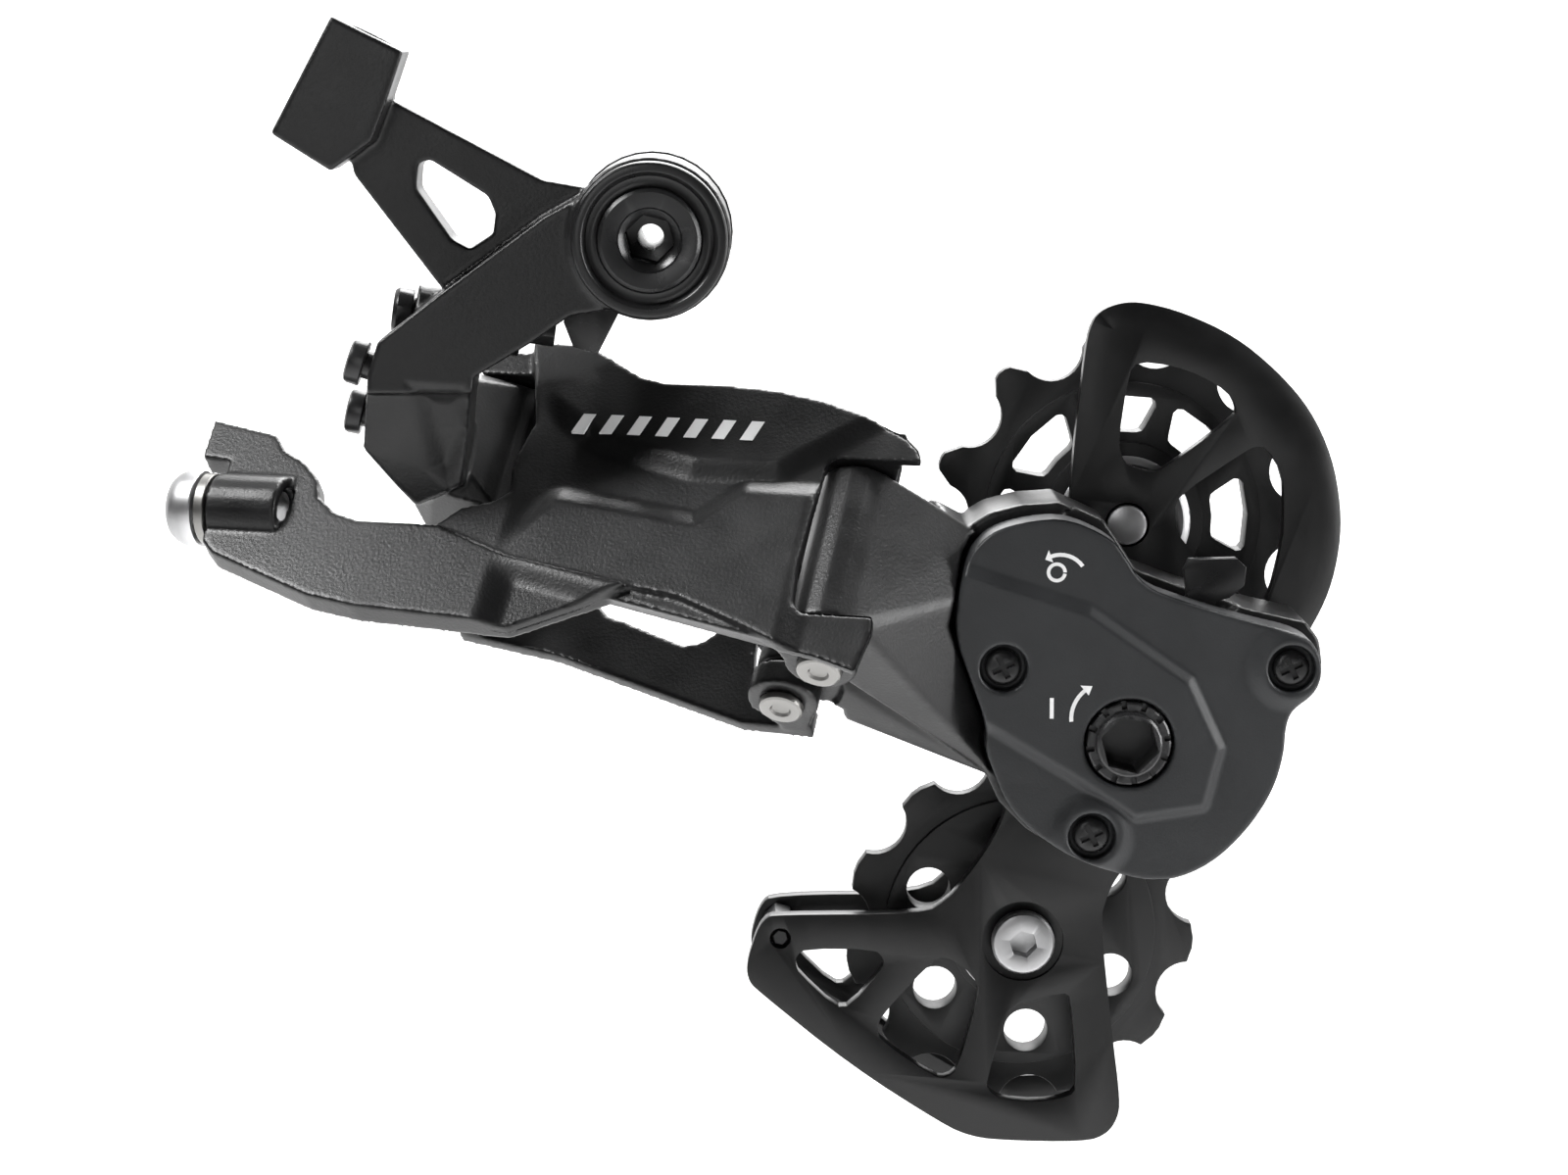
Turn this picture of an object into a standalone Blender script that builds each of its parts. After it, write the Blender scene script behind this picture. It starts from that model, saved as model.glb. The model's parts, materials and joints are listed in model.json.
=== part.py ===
"""Rear bicycle derailleur with a slant parallelogram, a clutch and a two-pulley cage.

The script works in millimetres and stores metres. The frame has its origin on the mounting
bolt's axis, in the plane of the hanger's face. +Y points into the hanger, towards the wheel,
+Z is up, and +X is the side that the chain cage hangs on.
"""

import math

import bmesh
import bpy
from mathutils import Matrix, Vector

MM = 0.001
GAP = 0.3

# The two fixed axes, both along Y, as (x, z).
CAGE_AXIS = (54.7, -57.6)
GUIDE_CENTRE = (56.7, -35.4)
TENSION_CENTRE = (44.7, -86.9)
PULLEY_Y = 9.0

# The parallelogram's own frame: along the link, across it towards the wheel, and up its pins.
LINK_ORIGIN = Vector((-20.4, -14.0, -41.0))
LINK_ALONG = Vector((0.96252, -0.27077, -0.01575)).normalized()
LINK_UP = Vector((0.20445, 0.68616, 0.69813)).normalized()
LINK_IN = LINK_UP.cross(LINK_ALONG).normalized()
LINK_LENGTH = 42.3
INNER_OFFSET = (-7.0, 12.0)
OUTER_B = (0.0, 0.0)
OUTER_P = (LINK_LENGTH, 0.0)
INNER_B = INNER_OFFSET
INNER_P = (LINK_LENGTH + INNER_OFFSET[0], INNER_OFFSET[1])
PIN_RADIUS = 2.0
PIN_HEAD_RADIUS = 2.6
PIN_HEAD = 0.8
EAR_RADIUS = 4.2
BARREL_RADIUS = 3.6

# Where each pin's ears sit, as heights up the pin: lower ear from, to, upper ear from, to.
EARS_OUTER_B = (1.1, 4.7, 28.8, 32.3)
EARS_OUTER_P = (-7.0, -3.4, 18.6, 22.6)
EARS_INNER_B = (6.5, 9.8, 25.3, 28.6)
EARS_INNER_P = (-4.1, -0.8, 17.4, 20.7)

# Pulleys: teeth at the half-inch pitch of a bicycle chain.
TEETH = 11
CHAIN_PITCH = 12.7
PITCH_RADIUS = CHAIN_PITCH / (2.0 * math.sin(math.pi / TEETH))
ROLLER_RADIUS = 3.9
TOOTH_THICK = 2.2

# Cage plates.
OUTER_PLATE = (2.5, 4.5)
INNER_PLATE = (13.5, 15.5)
PULLEY_BOLT_RADIUS = 2.4
BUSH_RADIUS = 4.0

# Knuckle that the cage turns on.
HOUSING_FRONT = -13.3
HOUSING_BACK = -0.8
HOUSING_FLOOR = -3.5
COVER_FRONT = -20.0
COVER_BACK = -13.6
COVER_WALL = 2.2
COVER_SCREWS = ((40.2, -48.8), (73.3, -49.0), (50.6, -68.6))
AXLE_RADIUS = 4.8
LEVER = (-13.0, -11.2)

COVER_OUTLINE = (
    (43.2, -31.9), (47.4, -31.6), (52.6, -34.0), (53.9, -35.9), (56.2, -39.5), (60.7, -41.2),
    (68.1, -43.5), (74.9, -45.1), (76.4, -47.1), (76.8, -49.7), (76.0, -52.0), (73.5, -53.9),
    (72.8, -55.9), (72.7, -59.2), (71.5, -63.5), (68.6, -68.1), (64.5, -72.1), (59.7, -74.1),
    (54.8, -73.6), (48.2, -71.0), (44.0, -68.4), (41.0, -65.3), (39.4, -61.7), (38.3, -58.4),
    (38.5, -55.8), (36.7, -50.9), (34.2, -44.0), (35.9, -36.5), (37.8, -34.0), (39.7, -32.8),
)
COVER_CENTRE = (55.0, -54.0)

OUTER_PLATE_OUTLINE = (
    (49.7, -34.7), (50.0, -27.9), (51.2, -16.1), (51.8, -11.7), (53.1, -9.7), (55.7, -8.7),
    (58.4, -8.7), (63.1, -9.9), (69.3, -12.7), (74.4, -16.8), (78.6, -21.5), (81.4, -27.3),
    (82.6, -33.4), (82.6, -38.2), (81.5, -43.7), (79.2, -48.5), (73.5, -58.0), (66.0, -69.0),
    (58.0, -76.5), (55.9, -79.1), (54.8, -81.7), (54.2, -84.4), (55.8, -98.3), (57.0, -107.1),
    (56.7, -109.5), (55.4, -111.5), (52.7, -112.5), (41.8, -112.2), (38.3, -111.6),
    (35.2, -110.2), (23.6, -102.5), (12.1, -92.9), (11.1, -91.7), (10.8, -89.8), (12.1, -85.4),
    (13.2, -83.8), (14.4, -83.4), (32.7, -83.4), (35.0, -81.9), (36.6, -80.4), (41.1, -74.2),
    (43.0, -69.0), (43.0, -60.0), (44.5, -50.0), (47.5, -42.0),
)
GUARD_WINDOWS = (
    ((57.7, -15.7), (61.9, -16.2), (65.3, -17.4), (68.7, -19.5), (69.6, -21.2), (69.5, -22.3),
     (61.1, -28.6), (59.5, -29.1), (56.7, -28.2), (55.9, -27.1), (55.5, -25.2), (56.6, -17.1)),
    ((70.6, -26.6), (71.9, -25.9), (73.4, -26.1), (75.4, -29.3), (75.6, -33.4), (75.6, -37.2),
     (74.0, -44.4), (72.9, -45.4), (71.6, -44.9), (63.0, -37.5), (62.4, -33.7), (62.9, -31.8)),
)
TAIL_WINDOWS = (
    ((16.9, -89.8), (16.9, -88.6), (18.2, -87.7), (26.6, -87.8), (27.7, -89.0), (27.6, -90.2),
     (23.6, -95.0), (21.7, -95.1), (17.3, -90.8)),
    ((33.4, -89.5), (35.1, -88.7), (37.4, -89.9), (39.3, -92.2), (39.3, -93.9), (36.9, -103.0),
     (35.6, -104.2), (34.0, -104.1), (27.3, -99.4), (26.9, -97.8), (27.4, -96.2)),
    ((44.4, -94.7), (49.7, -93.3), (50.8, -94.1), (51.6, -105.5), (50.7, -106.7), (46.8, -107.4),
     (42.2, -107.0), (40.6, -105.8), (40.4, -104.6), (42.5, -97.0), (43.6, -95.2)),
)
INNER_PLATE_OUTLINE = (
    (47.0, -45.0), (47.2, -35.0), (48.6, -29.6), (52.0, -26.3), (56.7, -25.2), (61.4, -26.3),
    (65.0, -29.8), (66.4, -35.4), (65.6, -44.0), (66.6, -56.0), (64.5, -66.0), (57.5, -76.5),
    (54.8, -81.7), (54.4, -86.0), (55.8, -98.3), (56.6, -107.1), (56.0, -109.5), (54.6, -111.2),
    (52.0, -112.0), (41.8, -111.7), (35.4, -109.7), (23.6, -102.0), (12.4, -92.6), (11.2, -89.8),
    (12.5, -85.0), (14.4, -83.6), (32.9, -83.6), (36.8, -80.2), (41.1, -74.2), (43.0, -69.0),
    (43.0, -60.0), (45.0, -50.0),
)

# The outer link's wall, as (along, up) in the link's frame. The notch on the right lets the
# knuckle's barrel show, and the left end runs out into the cable arm.
LINK_WALL = (
    (0.2, 33.3), (5.2, 33.3), (8.8, 32.3), (14.8, 28.6), (18.0, 27.9), (25.7, 28.0),
    (31.9, 27.5), (37.6, 26.2), (44.3, 23.8), (47.7, 22.0), (49.5, 20.2), (50.1, 18.6),
    (45.6, 18.6), (40.2, 18.6), (39.2, 17.6), (38.7, 2.9), (39.2, -2.4), (40.2, -3.4),
    (48.4, -3.4), (48.7, -5.3), (47.7, -10.9), (43.0, -9.3), (38.4, -8.3), (34.7, -6.5),
    (25.9, -2.8), (15.2, -1.1), (5.4, 0.6), (-3.8, -1.0), (-5.3, 4.7), (-2.5, 7.9),
    (1.4, 9.3), (2.9, 10.8), (2.3, 13.7), (2.3, 15.9), (3.4, 20.9),
)
WALL_T = (-6.0, -4.0)
CABLE_ARM = (
    (-36.0, 18.4), (-35.8, 12.7), (-32.2, 12.4), (-32.2, 0.6), (-30.4, -1.2), (-17.2, -6.4),
    (-11.1, -7.5), (7.3, -8.6), (20.0, -2.0), (5.0, 1.0), (-4.0, 4.6), (-14.0, 4.7),
    (-17.0, 5.6), (-19.5, 7.7), (-20.6, 10.6), (-22.8, 12.7), (-25.8, 14.4), (-27.5, 16.6),
)
ARM_T = (-7.0, -3.7)
ARM_END = -32.2
ANCHOR = (-5.4, 6.2)

# ---------------------------------------------------------------- materials

COLOURS = {
    "black_paint": ((0.012, 0.012, 0.013, 1.0), 0.35, 0.45),
    "grey_paint": ((0.085, 0.088, 0.092, 1.0), 0.35, 0.42),
    "black_plate": ((0.014, 0.014, 0.015, 1.0), 0.3, 0.35),
    "black_plastic": ((0.018, 0.018, 0.019, 1.0), 0.0, 0.5),
    "bright_steel": ((0.62, 0.61, 0.6, 1.0), 1.0, 0.3),
    "silver_alloy": ((0.75, 0.75, 0.76, 1.0), 1.0, 0.28),
    "black_steel": ((0.03, 0.03, 0.032, 1.0), 0.9, 0.4),
    "spring_steel": ((0.32, 0.32, 0.33, 1.0), 1.0, 0.35),
}


def material(name):
    """One Principled material per slot name, made the first time it is asked for."""
    found = bpy.data.materials.get(name)
    if found:
        return found
    colour, metallic, roughness = COLOURS[name]
    made = bpy.data.materials.new(name)
    made.use_nodes = True
    shader = made.node_tree.nodes["Principled BSDF"]
    shader.inputs["Base Color"].default_value = colour
    shader.inputs["Metallic"].default_value = metallic
    shader.inputs["Roughness"].default_value = roughness
    made.diffuse_color = colour
    return made


# ---------------------------------------------------------------- frames


def world(x, z, y):
    """Outline in X and Z, depth along Y."""
    return Vector((x, y, z))


def pins(s, t, h):
    """Along the link, across it, and up its pins."""
    return LINK_ORIGIN + s * LINK_ALONG + t * LINK_IN + h * LINK_UP


def wall(s, h, t):
    """Outline in the link's wall, depth across the link."""
    return pins(s, t, h)


def circle(centre, radius, count=20, start=0.0, stop=360.0):
    """Points round a circle, or round part of one, both ends included."""
    whole = abs(stop - start - 360.0) < 1e-6
    steps = count if whole else count - 1
    angles = [math.radians(start + (stop - start) * i / steps) for i in range(count)]
    return [(centre[0] + radius * math.cos(a), centre[1] + radius * math.sin(a)) for a in angles]


def scaled(outline, centre, factor):
    return [
        (centre[0] + (x - centre[0]) * factor, centre[1] + (z - centre[1]) * factor)
        for x, z in outline
    ]


# ---------------------------------------------------------------- solids

parts = bpy.data.collections.new("rear_derailleur")
cutters = bpy.data.collections.new("cutters")


def linked(name, data, collection):
    """An object whose data is in millimetres, scaled to metres."""
    made = bpy.data.objects.new(name, data)
    made.scale = (MM, MM, MM)
    collection.objects.link(made)
    return made


def mesh_object(name, points, faces, collection):
    """A closed mesh from points in millimetres, with its faces turned outwards."""
    mesh = bpy.data.meshes.new(name)
    mesh.from_pydata([tuple(p) for p in points], [], faces)
    work = bmesh.new()
    work.from_mesh(mesh)
    bmesh.ops.recalc_face_normals(work, faces=work.faces)
    bmesh.ops.triangulate(work, faces=work.faces)
    work.to_mesh(mesh)
    work.free()
    return linked(name, mesh, collection)


def extruded(name, outline, low, high, frame=world, collection=cutters):
    """An outline pushed along the third direction of a frame."""
    count = len(outline)
    points = [frame(a, b, low) for a, b in outline] + [frame(a, b, high) for a, b in outline]
    faces = [list(range(count)), list(range(count, 2 * count))]
    for i in range(count):
        after = (i + 1) % count
        faces.append([i, after, after + count, i + count])
    return mesh_object(name, points, faces, collection)


def hull(name, points, collection=cutters):
    """The tightest convex solid round some points."""
    work = bmesh.new()
    for point in points:
        work.verts.new(point)
    found = bmesh.ops.convex_hull(work, input=work.verts)
    loose = {v for v in found["geom_interior"] + found["geom_unused"] if v.is_valid}
    verts = [v for v in loose if isinstance(v, bmesh.types.BMVert)]
    bmesh.ops.delete(work, geom=verts, context="VERTS")
    bmesh.ops.recalc_face_normals(work, faces=work.faces)
    mesh = bpy.data.meshes.new(name)
    work.to_mesh(mesh)
    work.free()
    return linked(name, mesh, collection)


def turned(name, profile, base, axis, count=18, collection=parts, closed=False):
    """A solid of revolution. The profile is (radius, height) up the axis. A closed profile
    makes a ring, and an open one starts and ends on the axis."""
    axis = Vector(axis).normalized()
    side = axis.orthogonal().normalized()
    other = axis.cross(side)
    base = Vector(base)
    points = []
    rings = []
    for radius, height in profile:
        centre = base + axis * height
        if radius < 1e-6:
            rings.append([len(points)] * count)
            points.append(centre)
            continue
        rings.append(list(range(len(points), len(points) + count)))
        for i in range(count):
            angle = 2.0 * math.pi * i / count
            points.append(centre + radius * (math.cos(angle) * side + math.sin(angle) * other))
    pairs = list(zip(rings, rings[1:]))
    if closed:
        pairs.append((rings[-1], rings[0]))
    faces = []
    for low, high in pairs:
        for i in range(count):
            j = (i + 1) % count
            corners = [low[i], low[j], high[j], high[i]]
            corners = [c for k, c in enumerate(corners) if c not in corners[:k]]
            if len(corners) > 2:
                faces.append(corners)
    return mesh_object(name, points, faces, collection)


def rod(name, radius, start, end, count=16, collection=cutters):
    start, end = Vector(start), Vector(end)
    length = (end - start).length
    return turned(
        name, ((0, 0), (radius, 0), (radius, length), (0, length)), start, end - start, count,
        collection,
    )


def y_rod(name, centre, radius, low, high, count=16, collection=cutters):
    return rod(
        name, radius, (centre[0], low, centre[1]), (centre[0], high, centre[1]), count, collection
    )


def pin_rod(name, place, radius, low, high, count=16, collection=cutters):
    return rod(name, radius, pins(*place, low), pins(*place, high), count, collection)


def hexagon(name, across, base, axis, depth, collection=cutters):
    """A six-sided prism, for the sockets of screws."""
    corner = across / math.sqrt(3.0)
    return turned(
        name, ((0, 0), (corner, 0), (corner, depth), (0, depth)), base, axis, 6, collection
    )


def combine(body, operation, *tools):
    """One live Boolean for each operation on a body, with its tools in a hidden group."""
    label = f"{body.name} {operation.lower()}"
    group = bpy.data.collections.get(label)
    if not group:
        group = bpy.data.collections.new(label)
        cutters.children.link(group)
        boolean = body.modifiers.new(operation.lower(), "BOOLEAN")
        boolean.operation = operation
        boolean.solver = "MANIFOLD"
        boolean.operand_type = "COLLECTION"
        boolean.collection = group
        body.modifiers.new(f"{operation.lower()} triangles", "TRIANGULATE")
    for tool in tools:
        cutters.objects.unlink(tool)
        group.objects.link(tool)
        tool.hide_render = True
        tool.display_type = "WIRE"
    return body


def join(body, *tools):
    return combine(body, "UNION", *tools)


def cut(body, *tools):
    return combine(body, "DIFFERENCE", *tools)


def finish(body, slot, sharp=35.0):
    body.data.materials.clear()
    body.data.materials.append(material(slot))
    for face in body.data.polygons:
        face.use_smooth = True
    body.data.set_sharp_from_angle(angle=math.radians(sharp))
    return body


# ---------------------------------------------------------------- mounting bolt


def mounting_bolt():
    """Hollow bolt that screws into the hanger. The knuckle turns on its shank."""
    profile = (
        (1.5, -17.0), (3.4, -18.9), (5.8, -19.4), (6.6, -19.0), (7.4, -19.3), (7.7, -20.0),
        (8.5, -20.0), (8.8, -19.7), (8.8, -17.9), (8.5, -17.6), (5.7, -17.6), (5.7, -0.3),
        (4.9, 0.0), (4.9, 8.4), (4.3, 9.0), (1.5, 9.0),
    )
    bolt = turned("mounting_bolt", profile, (0, 0, 0), (0, 1, 0), 22, closed=True)
    cut(bolt, hexagon("mount_hex", 5.0, (0, -21, 0), (0, 1, 0), 8.0))
    return finish(bolt, "black_steel")


def stop_plate():
    """Washer against the hanger, with the tab that the knuckle's screw leans on."""
    plate = extruded("stop_plate", circle((0, 0), 9.4, 32), -2.0, 0.0, world, parts)
    tab = ((-10.4, -10.3), (-9.3, -13.2), (-6.4, -14.0), (-3.6, -8.6), (-8.6, -3.6))
    join(plate, extruded("stop_tab", tab, -5.0, -0.4))
    cut(plate, y_rod("stop_clear", (0, 0), 9.8, -6.0, -2.0, 32))
    cut(plate, y_rod("stop_bore", (0, 0), 6.0, -7.0, 3.0, 24))
    return finish(plate, "black_steel")


# ---------------------------------------------------------------- b knuckle


def b_knuckle():
    """Casting between the mounting bolt and the parallelogram, with the cable stop."""
    body = y_rod("b_knuckle", (0, 0), 9.2, -17.3, -2.3, 32, parts)
    front = (
        (-23.9, -6.2), (-30.9, -11.6), (-32.0, -15.0), (-32.2, -17.5), (-20.3, -17.5),
        (-20.1, -15.7), (-13.3, -11.6), (-9.1, -8.7), (-4.6, -8.0), (-2.0, 0.0), (-6.5, 5.5),
        (-12.1, 2.4),
    )
    plate = extruded("knuckle_plate", front, -16.8, -5.8)
    lower = hull(
        "knuckle_lower",
        [
            Vector(p)
            for p in (
                (-32.1, -16.8, -15.0), (-33.1, -13.8, -24.0), (-29.6, -11.6, -28.6),
                (-27.4, -10.4, -31.2), (-22.0, -11.6, -28.6), (-20.2, -16.8, -15.0),
                (-31.0, -5.0, -14.5), (-31.5, -4.0, -26.0), (-28.0, -3.0, -31.5),
                (-21.5, -3.5, -29.0), (-20.3, -5.5, -16.0),
            )
        ],
    )
    low, high = EARS_OUTER_B[1] + 0.4, EARS_OUTER_B[2] - 0.4
    inner_low, inner_high = EARS_INNER_B[1] + 0.3, EARS_INNER_B[2] - 0.3
    bridge = hull(
        "knuckle_bridge",
        [pins(s, t, h) for h in (10.2, high) for s, t in ((0.6, -3.4), (-6.5, -6.0), (-9.0, 3.0))]
        + [Vector(p) for p in ((-30.0, -6.0, -15.5), (-31.0, -5.5, -26.0), (-21.0, -6.5, -27.0))],
    )
    outer = pin_rod("barrel_outer_b", OUTER_B, BARREL_RADIUS, low, high)
    inner = pin_rod("barrel_inner_b", INNER_B, BARREL_RADIUS, inner_low, inner_high)
    web = hull(
        "knuckle_web",
        [pins(s, t, h) for h in (inner_low, inner_high)
         for s, t in ((-3.2, 1.0), (3.4, 1.0), (-10.0, 11.0), (-4.2, 13.4))],
    )
    upper = (
        (-34.5, 12.0), (-29.1, 15.5), (-12.2, 6.5), (-6.5, 5.5), (-6.0, -4.0), (-13.0, -8.0),
        (-24.0, -5.5), (-33.5, 7.1),
    )
    arm = extruded("cable_stop_arm", upper, -13.6, -5.4)
    stop = (
        (-35.1, 24.8), (-27.2, 20.9), (-29.1, 15.5), (-30.9, 11.0), (-35.5, 7.7), (-42.1, 11.9),
    )
    block = extruded("cable_stop_block", stop, -19.4, -10.4)
    screw_boss = rod("b_screw_boss", 3.5, *b_screw_line(0.0, 12.5), 16)
    join(body, plate, lower, bridge, outer, inner, web, arm, block, screw_boss)
    hole = (
        (-26.5, 5.6), (-26.2, 8.4), (-24.9, 8.8), (-18.4, 4.7), (-17.6, 2.7), (-17.9, 0.4),
        (-20.5, -1.3), (-22.5, -0.2),
    )
    cut(body, extruded("cable_stop_window", hole, -25.0, 5.0))
    top, foot = Vector((-31.15, -14.9, 22.85)), Vector((-38.8, -14.9, 9.8))
    along = (foot - top).normalized()
    cut(body, rod("housing_bore", 2.6, top - along * 3, top + along * 10.5, 16))
    cut(body, rod("cable_bore", 1.1, top - along * 3, foot + along * 4, 12))
    cut(body, y_rod("knuckle_bore", (0, 0), 6.9, -30, 5, 28))
    cut(body, pin_rod("bore_outer_b", OUTER_B, PIN_RADIUS + GAP, -5, 40, 16))
    cut(body, pin_rod("bore_inner_b", INNER_B, PIN_RADIUS + GAP, -5, 40, 16))
    for low, high in ((EARS_INNER_B[0] - 3, inner_low), (inner_high, EARS_INNER_B[3] + 3)):
        cut(body, pin_rod(f"ear_room_{low:.0f}", INNER_B, EAR_RADIUS + 0.7, low, high, 20))
    cut(body, pin_rod("lower_ear_room", OUTER_B, 8.8, -6.0, low_ear_top(), 24))
    for number, (place, axis) in enumerate(LIMIT_SCREWS):
        start = Vector(place) + Vector(axis).normalized() * 2
        end = Vector(place) - Vector(axis).normalized() * 9.6
        cut(body, rod(f"limit_bore_{number}", 1.9, start, end, 12))
    cut(body, rod("b_screw_bore", 2.1, *b_screw_line(-14.0, 20.0), 12))
    cut(body, rod("b_screw_counterbore", 3.2, *b_screw_line(-14.0, -0.1), 14))
    return finish(body, "black_paint")


def low_ear_top():
    return EARS_OUTER_B[1] + 0.4


LIMIT_SCREWS = (
    ((-32.3, -13.0, -14.6), (-0.95, 0.0, 0.31)),
    ((-32.9, -8.6, -20.6), (-0.97, 0.0, 0.22)),
)


def limit_screw(name, place, axis):
    """Small pan-head screw with a cross recess."""
    place, axis = Vector(place), Vector(axis).normalized()
    profile = ((0, -9.0), (1.6, -9.0), (1.6, 0.5), (2.6, 0.5), (2.6, 2.0), (2.2, 2.5), (0, 2.5))
    screw = turned(name, profile, place, axis, 12)
    side = Vector((0, 1, 0))
    across = axis.cross(side)
    for number, (a, b) in enumerate(((side, across), (across, side))):
        points = [
            place + axis * h + a * (1.7 * i) + b * (0.35 * j)
            for h in (1.5, 4.0) for i in (-1, 1) for j in (-1, 1)
        ]
        cut(screw, hull(f"{name}_cross_{number}", points))
    return finish(screw, "black_steel")


def b_screw_line(start, end):
    """Two points on the stop screw's axis, by distance from the casting's rear face."""
    face = Vector((-27.6, -4.6, -9.2))
    along = (Vector((-10.7, -4.0, -11.6)) - face).normalized()
    return face + along * start, face + along * end


def b_screw():
    """Screw in the knuckle that sets how far it hangs from the stop plate's tab."""
    start, end = b_screw_line(0.0, 1.0)
    profile = (
        (0, -2.6), (2.4, -2.6), (2.8, -2.1), (2.8, -0.4), (1.8, -0.4), (1.8, 16.4), (0, 16.4),
    )
    screw = turned("b_screw", profile, start, end - start, 12)
    socket = hexagon("b_screw_hex", 2.5, b_screw_line(-3.5, 0.0)[0], end - start, 2.6)
    cut(screw, socket)
    return finish(screw, "black_steel")


def knuckle_bush():
    """Plain bearing between the bolt's shank and the knuckle."""
    profile = ((6.0, -17.2), (6.6, -17.2), (6.6, -2.4), (6.0, -2.4))
    return finish(turned("knuckle_bush", profile, (0, 0, 0), (0, 1, 0), 18, closed=True), "bright_steel")


# ---------------------------------------------------------------- links


def link_pin(name, place, ears):
    """Rivet through two ears, with a low head on each end."""
    low, high = ears[0] - GAP - PIN_HEAD, ears[3] + GAP + PIN_HEAD
    profile = (
        (0, low), (PIN_HEAD_RADIUS - 0.3, low), (PIN_HEAD_RADIUS, low + 0.3),
        (PIN_HEAD_RADIUS, low + PIN_HEAD), (PIN_RADIUS, low + PIN_HEAD),
        (PIN_RADIUS, high - PIN_HEAD), (PIN_HEAD_RADIUS, high - PIN_HEAD),
        (PIN_HEAD_RADIUS, high - 0.3), (PIN_HEAD_RADIUS - 0.3, high), (0, high),
    )
    return finish(turned(name, profile, pins(*place, 0), LINK_UP, 14), "bright_steel")


def outer_ear(name, place, low, high):
    s, t = place
    outline = circle(place, EAR_RADIUS, 13, -10, 190) + [(s - 5.6, t - 5.2), (s + 5.6, t - 5.2)]
    return extruded(name, outline, low, high, pins)


def outer_link():
    """Cast link with a wall on the outside, ears round both pins and the cable's arm."""
    link = extruded("outer_link", LINK_WALL, *WALL_T, wall, parts)
    arm = extruded("cable_arm", CABLE_ARM, *ARM_T, wall)
    boss = rod("anchor_boss", 4.3, pins(ARM_END, *ANCHOR), pins(-23.5, *ANCHOR), 20)
    join(link, arm, boss)
    lower, upper = EARS_OUTER_B[:2], EARS_OUTER_B[2:]
    join(link, outer_ear("ear_b_low", OUTER_B, *lower), outer_ear("ear_b_top", OUTER_B, *upper))
    lower, upper = EARS_OUTER_P[:2], EARS_OUTER_P[2:]
    join(link, outer_ear("ear_p_low", OUTER_P, *lower), outer_ear("ear_p_top", OUTER_P, *upper))
    flange = hull(
        "bottom_flange",
        [pins(*p) for p in (
            (4.0, -2.0, 1.3), (4.0, -5.5, -0.2), (4.0, -2.0, 4.5), (4.0, -5.5, 4.5),
            (38.5, -2.0, -6.8), (38.5, -5.5, -8.0), (38.5, -2.0, -3.6), (38.5, -5.5, -3.6),
        )],
    )
    rib = hull(
        "top_flange",
        [pins(*p) for p in (
            (4.0, -2.0, 29.0), (4.0, -5.5, 29.0), (4.0, -2.0, 32.0), (4.0, -5.5, 32.0),
            (38.5, -2.0, 19.2), (38.5, -5.5, 19.2), (38.5, -2.0, 22.2), (38.5, -5.5, 22.2),
        )],
    )
    join(link, flange, rib)
    for number, place in enumerate((OUTER_B, OUTER_P)):
        cut(link, pin_rod(f"outer_hole_{number}", place, PIN_RADIUS + GAP, -20, 45, 16))
    cut(link, rod("anchor_hole", 2.8, pins(-36.0, *ANCHOR), pins(-23.0, *ANCHOR), 16))
    return finish(link, "black_paint")


def inner_ear(name, place, low, high):
    s, t = place
    outline = [(s + 2.0, t + 5.6), (s - 0.7, t + 5.6)] + circle(place, EAR_RADIUS, 13, 160, 375)
    return extruded(name, outline, low, high, pins)


def inner_link():
    """Pressed link on the wheel side, a channel with two pairs of ears."""
    s_low, s_high = INNER_B[0] - 1.2, INNER_P[0] + 2.6
    outline = (
        (s_low, EARS_INNER_B[0]), (s_low, EARS_INNER_B[3]), (INNER_B[0] + 12, EARS_INNER_B[3] - 1.0),
        (INNER_P[0] - 8, EARS_INNER_P[3] + 0.6), (s_high, EARS_INNER_P[3]),
        (s_high, EARS_INNER_P[2]), (INNER_P[0] - 5.6, EARS_INNER_P[2] - 2.0),
        (INNER_P[0] - 6.5, 8.0), (INNER_P[0] - 5.6, EARS_INNER_P[1] + 2.0),
        (s_high, EARS_INNER_P[1]), (s_high, EARS_INNER_P[0]),
        (INNER_P[0] - 6.0, EARS_INNER_P[0] + 0.4), (INNER_B[0] + 12.0, EARS_INNER_B[0] - 2.4),
    )
    t = INNER_OFFSET[1]
    link = extruded("inner_link", outline, t + 5.2, t + 7.0, wall, parts)
    for label, place, ears in (("b", INNER_B, EARS_INNER_B), ("p", INNER_P, EARS_INNER_P)):
        join(link, inner_ear(f"inner_ear_{label}_low", place, *ears[:2]))
        join(link, inner_ear(f"inner_ear_{label}_top", place, *ears[2:]))
    for number, place in enumerate((INNER_B, INNER_P)):
        cut(link, pin_rod(f"inner_hole_{number}", place, PIN_RADIUS + GAP, -20, 45, 16))
    slot = circle((12.0, 14.0), 4.2, 7, 90, 270) + circle((20.0, 11.0), 4.2, 7, -90, 90)
    cut(link, extruded("inner_link_slot", slot, t + 3, t + 9, wall))
    return finish(link, "black_paint")


def anchor_washer():
    """Washer that clamps the cable against the arm's end."""
    base = pins(ARM_END, *ANCHOR)
    profile = ((2.8, GAP), (4.2, GAP), (4.2, 1.5), (2.8, 1.5))
    washer = turned("anchor_washer", profile, base, -LINK_ALONG, 18, closed=True)
    return finish(washer, "bright_steel")


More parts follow.
